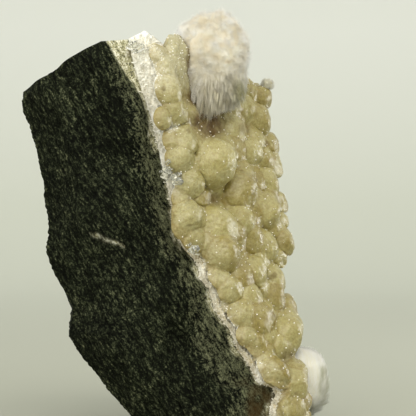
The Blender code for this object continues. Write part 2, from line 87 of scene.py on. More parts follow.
FAR_ARRIS = [
    (29.5, 9.0, 0.0), (29.4, 9.0, 6.0), (29.4, 11.0, 14.5), (27.8, 15.0, 19.0),
    (28.2, 17.0, 25.5), (25.5, 19.5, 31.0), (22.8, 21.8, 39.5), (23.4, 24.0, 44.0),
    (24.0, 29.0, 53.0), (22.6, 32.5, 63.5), (22.0, 36.0, 76.0), (19.9, 38.6, 86.5),
    (18.0, 39.5, 90.0),
]
BACK_RIGHT_ARRIS = [
    (27.0, 38.0, 0.0), (28.5, 39.5, 12.0), (27.0, 41.0, 30.0), (26.5, 41.5, 45.0),
    (25.0, 43.0, 62.0), (24.0, 43.5, 76.0), (20.5, 44.0, 87.0),
]
BACK_LEFT_ARRIS = [
    (-6.0, 37.0, 0.0), (-9.5, 38.5, 12.0), (-15.5, 40.5, 27.0), (-19.0, 39.5, 42.0),
    (-22.5, 41.0, 58.0), (-26.0, 38.5, 72.0), (-27.5, 36.5, 83.0),
]
NEAR_RIDGE_SHARE = 0.38          # where the nearest ridge lies between left and bevel
NEAR_RIDGE_Y = 0.4

# cells across each face, from the left arris round to the left arris again
FACE_CELLS = {"left_front": 56, "front": 108, "bevel": 22, "contact": 8, "right": 38,
              "back": 66, "left_back": 48}
CONTACT_FACE = 3                 # the contact face's place in that order
FACE_HEIGHT = 97.0               # of the contact face, about half way across
FACE_LEAN = 1.85                 # how far a foot moves off the face in y for one unit of height
WEAR = (0.5, 0.3, 0.3, 0.0, 0.0, 2.0, 2.6)   # how far each arris is worn back, in order
WEAR_REACH = 3.5
AXIS_FOOT, AXIS_LEAN = (8.0, 20.0), -0.18    # x, y of the block's axis at its base; x per z
BLOCK_ROWS = 225
CAP_ROWS = 34
BASE_FLAT_TO = 5.0               # height over which the relief fades to the flat base
ALTERED_FROM = 84.0              # the bleached wedge beside the druse starts at this height,
ALTERED_HEIGHT = 15.0            # is as wide as this above it
ALTERED_WIDTH = 5.4
STRIP_WIDTH = 9.0                # flecks reach this far from the contact arris,
STRIP_MORE = 5.0                 # and this much further near the base
VEIN = ((-20.5, 51.8), (-11.3, 48.2))        # x, z of the ends of the pale lens
VEIN_HALF = 0.5                              # and half its thickness
STREAK = np.array((0.50, 0.0, -0.866))       # the way the break's streaks run
LEDGE_SPACING = 5.5              # between the low steps of the broken faces
RUST_SPOT = (-9.8, 97.0, 1.3)    # x, z and radius of a brown spot by the top

# Dents (depth > 0) and lumps (depth < 0) of the broken faces: x, y, z, radius, depth
CHIPS = [
    (-14.0, 0.0, 69.0, 7.5, 1.3), (-9.6, 0.0, 77.0, 4.5, -0.9), (4.0, 0.0, 24.0, 5.5, 1.4),
    (0.5, 0.0, 36.0, 5.0, -0.9), (-22.0, 0.5, 54.0, 6.5, -0.8), (-16.0, 0.0, 45.0, 6.0, 1.1),
    (-10.0, 0.0, 22.0, 8.0, -1.2), (-6.0, 0.0, 9.0, 7.0, 1.0), (-29.0, 4.0, 78.0, 6.5, 1.0),
    (-25.5, 3.0, 88.0, 4.5, -0.7), (23.5, 3.5, 7.0, 3.0, 0.9), (14.0, 0.5, 8.0, 6.0, -0.9),
    (-8.0, 40.0, 60.0, 13.0, 3.0), (10.0, 43.0, 32.0, 11.0, -2.6), (4.0, 43.0, 76.0, 12.0, 2.4),
    (-34.0, 22.0, 66.0, 10.0, 2.2), (-26.0, 24.0, 34.0, 9.0, -2.0), (29.0, 26.0, 12.0, 9.0, 1.8),
    (28.0, 32.0, 30.0, 8.0, -1.5), (-2.0, 20.0, 97.0, 9.0, 1.6), (-22.0, 20.0, 92.0, 8.0, -1.5),
]

# ---------------------------------------------------------------- druse and crust
OUTWARD = np.array((0.77, -0.54, 0.34))      # the contact face's outward direction
RIND_THIN = 1.5                              # thickness of the white druse under the crust
RIND_THICK = 3.6                             # what it gains at the top front corner
RIND_FROM = 1.0 / 30                         # share of the height where the druse starts
RIND_ROWS = 330
BED_THICK = 2.6                              # crust between the balls, above the druse
BED_GRID = (60, 14)                          # its rows and columns,
BED_FROM, BED_TO = 0.034, 0.966              # the shares of the height that it spans,
BED_PULL = 0.8                               # and how far its outer side is drawn in

# Balls of the crust: x, z of the centre as the broken face is looked at, radius, lift.
# Lift is how far the centre stands above the druse, in radii.
BALLS = [
    (-0.7, 97.6, 3.1, 0.45), (-1.9, 92.5, 3.0, 0.45), (-0.9, 87.3, 3.8, 0.45),
    (0.7, 82.3, 3.4, 0.50), (1.8, 89.2, 1.9, 0.60), (1.3, 93.9, 2.1, 0.60),
    (-4.1, 96.0, 1.9, 0.40), (-2.4, 79.8, 2.3, 0.40), (2.8, 74.9, 3.5, 0.60),
    (-0.5, 74.6, 2.2, 0.35), (1.7, 70.1, 3.6, 0.50), (4.2, 64.2, 3.6, 0.55),
    (7.0, 60.3, 2.6, 0.60), (10.7, 69.6, 6.1, 0.85), (3.6, 55.8, 3.7, 0.55),
    (2.0, 60.2, 2.3, 0.35), (2.2, 52.4, 2.4, 0.35), (5.0, 50.2, 3.0, 0.40),
    (11.0, 52.8, 5.4, 0.50), (8.7, 49.0, 3.4, 0.50), (13.0, 46.4, 4.7, 0.75),
    (16.7, 54.6, 4.0, 0.60), (17.1, 61.9, 4.8, 0.65), (19.6, 72.5, 3.5, 0.50),
    (14.7, 78.2, 3.7, 0.15), (18.0, 84.1, 3.8, 0.35), (22.4, 81.6, 4.0, 0.50),
    (23.0, 88.0, 3.5, 0.50), (19.4, 89.4, 3.2, 0.35), (25.4, 74.7, 2.8, 0.50),
    (26.2, 69.3, 3.1, 0.50), (24.4, 64.4, 3.7, 0.50), (23.7, 56.9, 4.5, 0.60),
    (27.4, 59.1, 2.6, 0.50), (27.7, 54.3, 2.1, 0.50), (29.0, 48.7, 3.3, 0.80),
    (23.6, 47.8, 3.9, 0.60), (26.4, 44.6, 2.6, 0.40), (20.3, 41.2, 4.0, 0.60),
    (14.3, 37.2, 3.1, 0.50), (11.5, 40.2, 2.7, 0.45), (25.5, 34.5, 3.5, 0.50),
    (29.2, 31.9, 2.7, 0.50), (17.4, 31.0, 3.6, 0.50), (21.7, 29.6, 4.1, 0.60),
    (29.4, 25.6, 4.6, 0.60), (26.6, 22.3, 3.3, 0.60), (18.2, 25.8, 2.4, 0.45),
    (20.8, 23.3, 2.6, 0.45), (23.2, 21.4, 2.4, 0.45), (26.1, 16.1, 3.6, 0.55),
    (31.0, 13.1, 3.6, 0.50), (29.8, 6.8, 3.4, 0.40), (23.4, 18.2, 2.2, 0.40),
]
FILLER_SEED = 11
FILLER_TRIES = 3000
FILLER_RADII = (2.9, 4.5)
FILLER_LIFTS = (0.20, 0.50)
FILLER_SPACING = 0.64            # least centre distance, as a share of the two radii
# Places without fillers, where the crust is low and painted brown as painted shade: x, z as seen
# from the front, radius
HOLLOWS = [(9.5, 79.6, 4.8), (6.0, 86.5, 3.2), (11.4, 60.2, 2.0), (29.6, 20.4, 2.0),
           (19.0, 79.0, 2.0)]
CRUST_FLOOR = 0.8                # the crust ends this far above the base plane
BALL_GRID = (14, 22)             # rows and columns of one ball before the balls are joined
FROST_REACH = 3.0                # how far the druse's sugar creeps over the crust's edge
SUGAR_GRAINS = 2200
SUGAR_LENGTHS = (0.10, 0.28)
# Groups of clear crystals: x, z as seen from the front, how many
CRYSTAL_GROUPS = [(25.6, 40.6, 7), (26.3, 38.8, 6), (0.4, 65.5, 6), (-1.3, 67.0, 5),
                  (5.3, 47.6, 4), (-9.5, 98.2, 5), (13.2, 46.0, 3), (21.0, 44.8, 3),
                  (-2.4, 82.0, 4)]
CRYSTAL_LENGTHS = (1.0, 2.3)

# ---------------------------------------------------------------- okenite
# Each growth: centre, radii of its matted body, the direction of its foot, how many tufts,
# seed, the longest tuft, and its droop per millimetre.
GROWTHS = {
    "puffball": ((10.6, 17.0, 96.2), (9.2, 9.0, 12.3), (-0.77, 0.54, -0.34), 120, 5, 1.8, 0.5),
    "lower": ((32.8, 18.5, 13.2), (7.6, 7.6, 8.2), (-0.80, -0.55, 0.20), 50, 8, 1.8, 0.3),
    "tuft": ((25.6, 38.0, 91.6), (1.7, 1.7, 1.5), (-0.60, 0.15, -0.78), 16, 3, 0.5, 0.0),
}
# Lumps of the puffball's mat that show at its outline: x, y, z, radius, height
MAT_LUMPS = [(1.6, 15.0, 102.6, 3.8, 1.8), (20.2, 16.0, 96.2, 2.6, 0.4),
             (17.0, 15.0, 107.0, 3.2, 0.6), (4.6, 13.6, 88.5, 4.6, 1.5),
             (7.4, 13.0, 85.2, 3.4, 1.1)]
BOXY = 2.4                       # 2 gives the matted body round sides, more gives flatter ones
CRACK = (14.6, 95.3, 1.3, 0.45)  # x, z of a brown crack in the mat, half its length and width
MAT_LOCKS, BEARD_LOCKS, LOWER_LOCKS, TUFT_LOCKS = 1800, 620, 420, 60
LOWER_FIBRES, TUFT_FIBRES = 34000, 3600
BEARD_LENGTHS, LOWER_LENGTHS, TUFT_LENGTHS = (0.8, 2.6), (1.2, 2.6), (0.4, 1.0)
LOWER_STREAKS = 200              # tones that take turns round the lower ball,
STREAKS_PER_RADIAN = 30

# ---------------------------------------------------------------- camera and stage
CAMERA_PLACE = (0.001, -0.453, 0.058)
CAMERA_LENS = 150.0
STAGE_FLAT = 0.75                # radius of the flat floor, metres
STAGE_CURVE = 0.60               # radius of the curve that leads the floor up into the wall
STAGE_WALL = 0.10                # height of the wall above the curve
SPECIMEN_MIDDLE = (0.0, 0.0, 0.055)
# Each light: its name, place, what it faces, side and colour
LIGHTS = [
    ("key", (0.12, -0.50, 0.48), SPECIMEN_MIDDLE, 0.50, "fffdf4"),
    ("fill", (-0.38, -0.70, 0.10), SPECIMEN_MIDDLE, 0.60, "fffaf0"),
    ("rim", (0.42, 0.22, 0.10), SPECIMEN_MIDDLE, 0.04, "ffffff"),
    ("wash", (0.05, 0.80, 0.72), (0.03, 1.25, 0.25), 0.35, "fbfdff"),
]
ROOM_COLOUR, ROOM_STRENGTH = "f2f3ee", 1.15  # even light from all round


def linear_rgb(hex_colour):
    """Linear red, green and blue of an sRGB hex colour."""
    channels = [int(hex_colour[i:i + 2], 16) / 255.0 for i in (0, 2, 4)]
    return tuple(c / 12.92 if c <= 0.04045 else ((c + 0.055) / 1.055) ** 2.4
                 for c in channels)


def linear_rgba(hex_colour):
    """The same with a full alpha, as sockets and settings take it."""
    return (*linear_rgb(hex_colour), 1.0)


# ================================================================ settings
def colour_setting(name, description, hex_colour):
    """A colour that a user may change."""
    return FloatVectorProperty(name=name, description=description, subtype="COLOR", size=4,
                               min=0.0, max=1.0, default=linear_rgba(hex_colour))


def length_setting(name, description, millimetres):
    """A length that a user may change."""
    return FloatProperty(name=name, description=description, unit="LENGTH", min=0.0,
                         precision=5, default=millimetres * MM)


class BasaltSettings(bpy.types.PropertyGroup):
    """Sizes and colours of the broken basalt."""
    streak_height: length_setting("Streak height", "Relief of the break's streaks", 0.34)
    ledge_height: length_setting("Ledge height", "Relief of the low steps", 0.45)
    grain_height: length_setting("Grain height", "Relief of the rock's grain", 0.24)
    dark: colour_setting("Dark", "The fine ground of the rock", "181c12")
    grey: colour_setting("Grey", "Where feldspar laths are dense", "3d4230")
    fleck: colour_setting("Fleck", "Single laths and bruised grains", "797b5f")
    altered: colour_setting("Altered", "Rock bleached beside the druse", "a9a57f")
    iron: colour_setting("Iron stain", "Brown limonite at the low corner", "43351e")


class DruseSettings(bpy.types.PropertyGroup):
    """Sizes and colours of the white druse and its small crystals."""
    grain_height: length_setting("Grain height", "Relief of the sugary skin", 0.15)
    crystal_count: IntProperty(name="Crystals", description="How many small crystals stand on it",
                               default=4600, min=0, max=9000)
    crystal_size: length_setting("Crystal size", "Length of a middling crystal", 0.38)
    colour: colour_setting("Druse", "The sugary white skin", "fbfaf4")
    # painted shade: the grey painted into the hollows between the grains
    shaded: colour_setting("Hollows", "Between its grains", "e9e5d9")
    stain: colour_setting("Stain", "Limonite soaked into the druse", "b3a57e")


class CrustSettings(bpy.types.PropertyGroup):
    """Sizes and colours of the botryoidal crust."""
    cell: length_setting("Cell", "Side of the cells that join the balls into one skin", 0.38)
    fillet: length_setting("Fillet", "How softly the balls run into each other", 1.0)
    swell: length_setting("Swell", "How far a ball departs from round", 0.25)
    skin_height: length_setting("Skin relief", "Relief of the balls' fine skin", 0.12)
    colour: colour_setting("Crust", "The balls' waxy body", "a39b68")
    pale: colour_setting("Pale crust", "Beside the druse, near the top", "a9a37a")
    frost: colour_setting("Frost", "Where the druse's sugar covers the crust's edge", "e9e6d8")
    # painted shade: this brown is painted into creases and low places, partly limonite, partly
    # painted shade
    stain: colour_setting("Stain", "Limonite in the creases", "897131")


class OkeniteSettings(bpy.types.PropertyGroup):
    """Sizes and colours of the okenite balls."""
    fibre_width: length_setting("Fibre width", "A bundle of needles seen as one", 0.07)
    fibre_length: length_setting("Fibre length", "A middling fibre of the mat", 1.2)
    mat_fibres: IntProperty(name="Fibres of the mat", description="On the puffball",
                            default=62000, min=0, max=65000)
    beard_fibres: IntProperty(name="Hanging fibres", description="Under the puffball",
                              default=4500, min=0, max=19000)
    colour: colour_setting("Okenite", "Fresh white fibres", "fcfaec")
    cream: colour_setting("Cream", "The matted, handled top", "efe3c8")
    # painted shade: this grey also stands for shade on the lower sides of the balls
    translucent_and_shade: colour_setting("Grey", "Thin places that let the dark through", "a2a376")
    stain: colour_setting("Stain", "Limonite where it meets the crust", "aa8d4a")


class StageSettings(bpy.types.PropertyGroup):
    """Colours and light of the stage."""
    # painted light and shade: floor, middle and wall colours grade the paper from dark to pale
    floor: colour_setting("Floor", "Under and just behind the specimen", "a2a395")
    middle: colour_setting("Middle", "Low behind the specimen", "c8cabe")
    wall: colour_setting("Wall", "High behind the specimen", "d9dad3")
    key_power: FloatProperty(name="Key light", description="Soft light from above",
                             default=2.6, min=0.0, unit="POWER")
    fill_power: FloatProperty(name="Fill light", description="Soft light from the front",
                              default=4.0, min=0.0, unit="POWER")
    wash_power: FloatProperty(name="Wall light", description="Soft light on the wall behind",
                              default=0.55, min=0.0, unit="POWER")
    rim_power: FloatProperty(name="Rim light", description="From behind on the right",
                             default=0.7, min=0.0, unit="POWER")


class SpecimenSettings(bpy.types.PropertyGroup):
    """All the settings of the specimen."""
    basalt: PointerProperty(type=BasaltSettings)
    druse: PointerProperty(type=DruseSettings)
    crust: PointerProperty(type=CrustSettings)
    okenite: PointerProperty(type=OkeniteSettings)
    stage: PointerProperty(type=StageSettings)


# ================================================================ fields and curves
def smooth_step(value):
    """v * v * (3 - 2 v), where v is the value held between 0 and 1."""
    value = np.clip(value, 0.0, 1.0)
    return value * value * (3 - 2 * value)


def unit(vectors):
    """Vectors divided by their length."""
    return vectors / np.maximum(np.linalg.norm(vectors, axis=-1, keepdims=True), 1e-9)


def waves(points, seed, wavelength, count=14):
    """A smooth random field between about -1 and 1: a sum of sine waves whose
    directions and phases are drawn from a seed, scaled to one wavelength."""
    rng = np.random.default_rng(seed)
    heads = rng.normal(size=(count, 3))
    heads /= np.linalg.norm(heads, axis=1)[:, None]
    rates = 2 * math.pi / (wavelength * rng.uniform(0.7, 1.5, count))
    phases = rng.uniform(0, 2 * math.pi, count)
    return np.sin(points @ (heads * rates[:, None]).T + phases).sum(-1) / math.sqrt(count)


def grain(points, seed, size):
    """Gradient noise between about -1 and 1. At each corner of a lattice of cells of one
    size stands a random direction, picked from a table by a hash of the corner's place; a
    point's offset from each of its cell's eight corners is multiplied with that corner's
    direction, and the products are blended smoothly."""
    table = unit(np.random.default_rng(seed).normal(size=(256, 3)))
    scaled = points / size
    corner = np.floor(scaled).astype(np.int64)
    offset = scaled - corner
    fade = offset ** 3 * (offset * (offset * 6 - 15) + 10)
    total = 0.0
    for step in np.array(np.meshgrid((0, 1), (0, 1), (0, 1))).T.reshape(-1, 3):
        x, y, z = np.moveaxis(corner + step, -1, 0)
        picked = table[(x * 73856093 ^ y * 19349663 ^ z * 83492791) & 255]
        weight = np.where(step, fade, 1 - fade).prod(-1)
        total = total + weight * ((offset - step) * picked).sum(-1)
    return total * 1.7


def along(arris, share):
    """The points of an arris at shares of its height: straight lines between its named
    points."""
    points = np.array(arris)
    z = np.asarray(share, float) * points[-1, 2]
    return np.stack([np.interp(z, points[:, 2], points[:, 0]),
                     np.interp(z, points[:, 2], points[:, 1]), z], axis=-1)


def contact(across, share):
    """The contact face: straight lines from the contact arris to the far arris."""
    near, far = along(CONTACT_ARRIS, share), along(FAR_ARRIS, share)
    return near + (far - near) * np.asarray(across, float)[..., None]


def rind_thickness(across, share):
    """The druse is thin, and thicker towards the top near corner as a smooth step both
    ways."""
    top_corner = smooth_step((share - 0.55) / 0.4) * smooth_step(1.0 - across * 2.2)
    return RIND_THIN + RIND_THICK * top_corner


def face_under(points, tries=9):
    """Across, share and height of points that stand over the contact face: the point on
    the face plus the height times the outward direction gives the point again. Each try
    puts the foot of the height on the face's level and corrects the height by how far
    the foot is off the face in y."""
    height = np.zeros(points.shape[:-1])
    share = points[..., 2] / FACE_HEIGHT
    for _ in range(tries):
        foot = points - height[..., None] * OUTWARD
        near, far = along(CONTACT_ARRIS, share), along(FAR_ARRIS, share)
        across = (foot[..., 0] - near[..., 0]) / (far[..., 0] - near[..., 0])
        across = np.clip(across, -0.3, 1.3)
        level = (CONTACT_ARRIS[-1][2] * (1 - across) + FAR_ARRIS[-1][2] * across)
        share = np.clip(foot[..., 2] / level, 0.0, 1.05)
        error = foot[..., 1] - (near[..., 1] + (far[..., 1] - near[..., 1]) * across)
        height = height - error / FACE_LEAN
    return across, share, height


def seat(x, z, height):
    """The point that shows at x, z from the front and stands at a height above the
    contact face: the place on the face is found by going to and fro a few times."""
    share = z / FACE_HEIGHT
    for _ in range(12):
        near, far = along(CONTACT_ARRIS, share), along(FAR_ARRIS, share)
        across = (x - height * OUTWARD[0] - near[0]) / (far[0] - near[0])
        foot_z = near[2] + across * (far[2] - near[2])
        share *= (z - height * OUTWARD[2]) / foot_z
    return across, share, contact(across, share) + height * OUTWARD


# ================================================================ meshes
def to_frame(points):
    """Drawing units to the part's frame, in metres."""
    return (points - (*BASE_CENTRE, 0.0)) * MM


def from_frame(points):
    """The part's frame, in metres, to drawing units."""
    return points / MM + (*BASE_CENTRE, 0.0)


def grid_faces(rows, columns, closed=False):
    """Quads over a grid of points that are counted row by row. Closed, the last column
    joins the first."""
    width = columns if closed else columns - 1
    row, column = np.mgrid[0:rows - 1, 0:width]
    a = row * columns + column
    b = row * columns + (column + 1) % columns
    return np.stack([a, b, b + columns, a + columns], axis=-1).reshape(-1, 4)


def pole_faces(rows, columns):
    """Triangles from the first and last rows to two poles, the last two points."""
    ring = np.arange(columns)
    following = (ring + 1) % columns
    top = (rows - 1) * columns
    low, high = rows * columns, rows * columns + 1
    return np.concatenate([
        np.stack([following, ring, np.full(columns, low)], axis=1),
        np.stack([top + ring, top + following, np.full(columns, high)], axis=1)])


def repeated_faces(faces, size, copies):
    """The faces of a small form of a number of points, for many copies of it."""
    shift = np.arange(copies)[:, None, None] * size
    return (np.asarray(faces)[None] + shift).reshape(-1, len(faces[0]))


def mesh_of(name, points, *face_sets):
    """A smooth-shaded mesh from points in drawing units and arrays of faces."""
    mesh = bpy.data.meshes.new(name)
    points = to_frame(np.asarray(points, float).reshape(-1, 3))
    mesh.vertices.add(len(points))
    mesh.vertices.foreach_set("co", points.ravel())
    corners = np.concatenate([faces.ravel() for faces in face_sets])
    sizes = np.concatenate([np.full(len(faces), faces.shape[1]) for faces in face_sets])
    mesh.loops.add(len(corners))
    mesh.loops.foreach_set("vertex_index", corners)
    mesh.polygons.add(len(sizes))
    mesh.polygons.foreach_set("loop_start", np.cumsum(sizes) - sizes)
    mesh.polygons.foreach_set("use_smooth", np.ones(len(sizes), bool))
    mesh.update(calc_edges=True)
    mesh.validate()
    return mesh


def paint(mesh, **fields):
    """Named values at the mesh's points, which its material reads."""
    for name, values in fields.items():
        layer = mesh.attributes.new(name, "FLOAT", "POINT")
        layer.data.foreach_set("value", np.ascontiguousarray(values, np.float32).ravel())


def add_piece(name, mesh, material, stands_for=None):
    """A finished piece that rides with the specimen. It sits at the origin, with its
    place in its mesh."""
    piece = bpy.data.objects.new(name, mesh)
    bpy.context.scene.collection.objects.link(piece)
    mesh.materials.append(material)
    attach(piece, "root")
    if stands_for:
        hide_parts(stands_for)


# ================================================================ materials
MIX_FACTOR, MIX_A, MIX_B, MIX_OUT = 0, 6, 7, 2       # sockets of a colour Mix node


def add_node(tree, kind, settings=None, links=None):
    """One node. Settings are its own values or its inputs' values, by name or number;
    stops are a ramp's places and colours. Links lead outputs to its inputs."""
    node = tree.nodes.new("ShaderNode" + kind)
    for key, value in (settings or {}).items():
        if key == "stops":
            ramp = node.color_ramp.elements
            while len(ramp) < len(value):
                ramp.new(1.0)
            for element, (place, colour) in zip(ramp, value):
                element.position, element.color = place, colour
        elif isinstance(key, str) and hasattr(node, key):
            setattr(node, key, value)
        else:
            node.inputs[key].default_value = value
    for key, socket in (links or {}).items():
        tree.links.new(socket, node.inputs[key])
    return node


def per_size(millimetres):
    """The scale of a texture whose features are this far apart."""
    return 1.0 / (millimetres * MM)


def start_material(name):
    """An empty material: its tree, and its object coordinates."""
    made = bpy.data.materials.new(name)
    made.use_nodes = True
    made.node_tree.nodes.clear()
    place = add_node(made.node_tree, "TexCoord").outputs["Object"]
    return made, made.node_tree, place


def end_material(tree, settings, links):
    """The Principled shader and the output."""
    shader = add_node(tree, "BsdfPrincipled", settings, links)
    add_node(tree, "OutputMaterial", links={"Surface": shader.outputs[0]})


def broken_basalt(settings):
    """Olivine basalt, broken by a hammer. A dull, nearly black ground with a greenish
    cast, drawn out in streaks by the break, and peppered with pale laths of feldspar;
    bleached grey-green where it was altered beside the druse, brown at the low corner.

    The grain is the sum of three noises, each times its share: grains of 0.42 mm, streaks
    0.65 mm wide and 2.7 times as long, and patches of 3 mm. Real laths of 0.1 to 0.3 mm
    are too fine to show, so they are drawn as the coarser grains."""
    made, tree, place = start_material("broken_basalt")
    turned = add_node(tree, "Mapping", {"vector_type": "TEXTURE",
                                        "Rotation": (0.0, math.radians(-30.0), 0.0),
                                        "Scale": (1.0, 1.0, 2.7)}, {"Vector": place})
    speckle = add_node(tree, "TexNoise", {"Scale": per_size(0.42), "Detail": 5.0,
                                          "Roughness": 0.65}, {"Vector": place})
    streak = add_node(tree, "TexNoise", {"Scale": per_size(0.65), "Detail": 5.0,
                                         "Roughness": 0.6}, {"Vector": turned.outputs[0]})
    cloud = add_node(tree, "TexNoise", {"Scale": per_size(11.0), "Detail": 5.0,
                                        "Roughness": 0.65}, {"Vector": place})
    patch = add_node(tree, "TexNoise", {"Scale": per_size(3.0), "Detail": 6.0,
                                        "Roughness": 0.75}, {"Vector": turned.outputs[0]})
    patches = add_node(tree, "Math", {"operation": "MULTIPLY", 1: 0.22},
                       {0: patch.outputs["Fac"]})
    streaked = add_node(tree, "Math", {"operation": "MULTIPLY_ADD", 1: 0.42},
                        {0: streak.outputs["Fac"], 2: patches.outputs[0]})
    grained = add_node(tree, "Math", {"operation": "MULTIPLY_ADD", 1: 0.36},
                       {0: speckle.outputs["Fac"], 2: streaked.outputs[0]})
    ground = add_node(tree, "ValToRGB", {"stops": [
        (0.44, linear_rgba("090b06")), (0.505, settings.dark[:]), (0.565, settings.grey[:]),
        (0.64, settings.fleck[:])]}, {"Fac": grained.outputs[0]})
    clouded = add_node(tree, "Mix", {"data_type": "RGBA", "blend_type": "MULTIPLY",
                                     MIX_FACTOR: 0.75},
                       {MIX_A: ground.outputs[0], MIX_B: add_node(tree, "ValToRGB", {"stops": [
                           (0.35, (0.5, 0.5, 0.5, 1.0)), (0.65, (1.0, 1.0, 1.0, 1.0))]},
                           {"Fac": cloud.outputs["Fac"]}).outputs[0]})
    # flecks show where grain + 0.13 * strip is high: dense beside the druse, rare elsewhere
    strip, altered, iron = [
        add_node(tree, "Attribute", {"attribute_name": name}).outputs["Fac"]
        for name in ("strip", "altered", "iron")]
    lifted = add_node(tree, "Math", {"operation": "MULTIPLY_ADD", 1: 0.130},
                      {0: strip, 2: grained.outputs[0]})
    flecks = add_node(tree, "ValToRGB", {"stops": [
        (0.58, (0.0, 0.0, 0.0, 1.0)), (0.80, (1.0, 1.0, 1.0, 1.0))]},
        {"Fac": lifted.outputs[0]})
    flecked = add_node(tree, "Mix", {"data_type": "RGBA", MIX_B: settings.fleck[:]},
                       {MIX_FACTOR: flecks.outputs[0], MIX_A: clouded.outputs[MIX_OUT]})
    bleach = add_node(tree, "ValToRGB", {"stops": [
        (0.42, linear_rgba("56564a")), (0.49, settings.altered[:]),
        (0.56, linear_rgba("ebe8d8"))]}, {"Fac": grained.outputs[0]})
    bleached = add_node(tree, "Mix", {"data_type": "RGBA"},
                        {MIX_FACTOR: altered, MIX_A: flecked.outputs[MIX_OUT],
                         MIX_B: bleach.outputs[0]})
    stained = add_node(tree, "Mix", {"data_type": "RGBA", MIX_B: settings.iron[:]},
                       {MIX_FACTOR: iron, MIX_A: bleached.outputs[MIX_OUT]})
    relief = add_node(tree, "Bump", {"Strength": 1.0, "Distance": 1.0 * MM},
                      {"Height": grained.outputs[0]})
    end_material(tree, {"Roughness": 0.55, "IOR": 1.6, "Specular IOR Level": 0.03},
                 {"Base Color": stained.outputs[MIX_OUT], "Normal": relief.outputs[0]})
    return made


def sugary_druse(settings):
    """A druse of tiny zeolite crystals, grown in place. A white skin like damp sugar, with
    grains 0.7 mm apart; the hollows between them are painted a little grey as painted shade,
    and limonite has soaked into it in places."""
    made, tree, place = start_material("sugary_druse")
    sugar = add_node(tree, "TexVoronoi", {"Scale": per_size(0.7)}, {"Vector": place})
    patch = add_node(tree, "TexNoise", {"Scale": per_size(4.0), "Detail": 4.0},
                     {"Vector": place})
    blend = add_node(tree, "Math", {"operation": "MULTIPLY_ADD", 1: -0.55},
                     {0: sugar.outputs["Distance"], 2: patch.outputs["Fac"]})
    # painted shade: the ramp's low end greys the hollows between the grains
    colour = add_node(tree, "ValToRGB", {"stops": [
        (0.10, settings.shaded[:]), (0.30, settings.colour[:]), (0.75, linear_rgba("fbf8f2"))]},
        {"Fac": blend.outputs[0]})
    stain = add_node(tree, "Attribute", {"attribute_name": "stain"}).outputs["Fac"]
    soaked = add_node(tree, "Math", {"operation": "MULTIPLY", "use_clamp": True},
                      {0: stain, 1: patch.outputs["Fac"]})
    stained = add_node(tree, "Mix", {"data_type": "RGBA", MIX_B: settings.stain[:]},
                       {MIX_FACTOR: soaked.outputs[0], MIX_A: colour.outputs[0]})
    relief = add_node(tree, "Bump", {"Strength": 0.5, "Distance": 0.12 * MM, "invert": True},
                      {"Height": sugar.outputs["Distance"]})
    end_material(tree, {"Roughness": 0.42, "IOR": 1.53},
                 {"Base Color": stained.outputs[MIX_OUT], "Normal": relief.outputs[0]})
    return made


def druse_material(settings):
    """The druse's material, made once and shared."""
    return bpy.data.materials.get("sugary_druse") or sugary_druse(settings)


def glassy_crystal():
    """Small clear zeolite crystals with natural faces: colourless, bright on their faces,
    with whatever lies behind showing through."""
    made, tree, place = start_material("glassy_crystal")
    veil = add_node(tree, "TexNoise", {"Scale": per_size(0.8), "Detail": 3.0},
                    {"Vector": place})
    colour = add_node(tree, "ValToRGB", {"stops": [
        (0.3, linear_rgba("f4f3ea")), (0.8, linear_rgba("fbfbf6"))]},
        {"Fac": veil.outputs["Fac"]})
    end_material(tree, {"Roughness": 0.06, "IOR": 1.535, "Transmission Weight": 0.9},
                 {"Base Color": colour.outputs[0]})
    return made


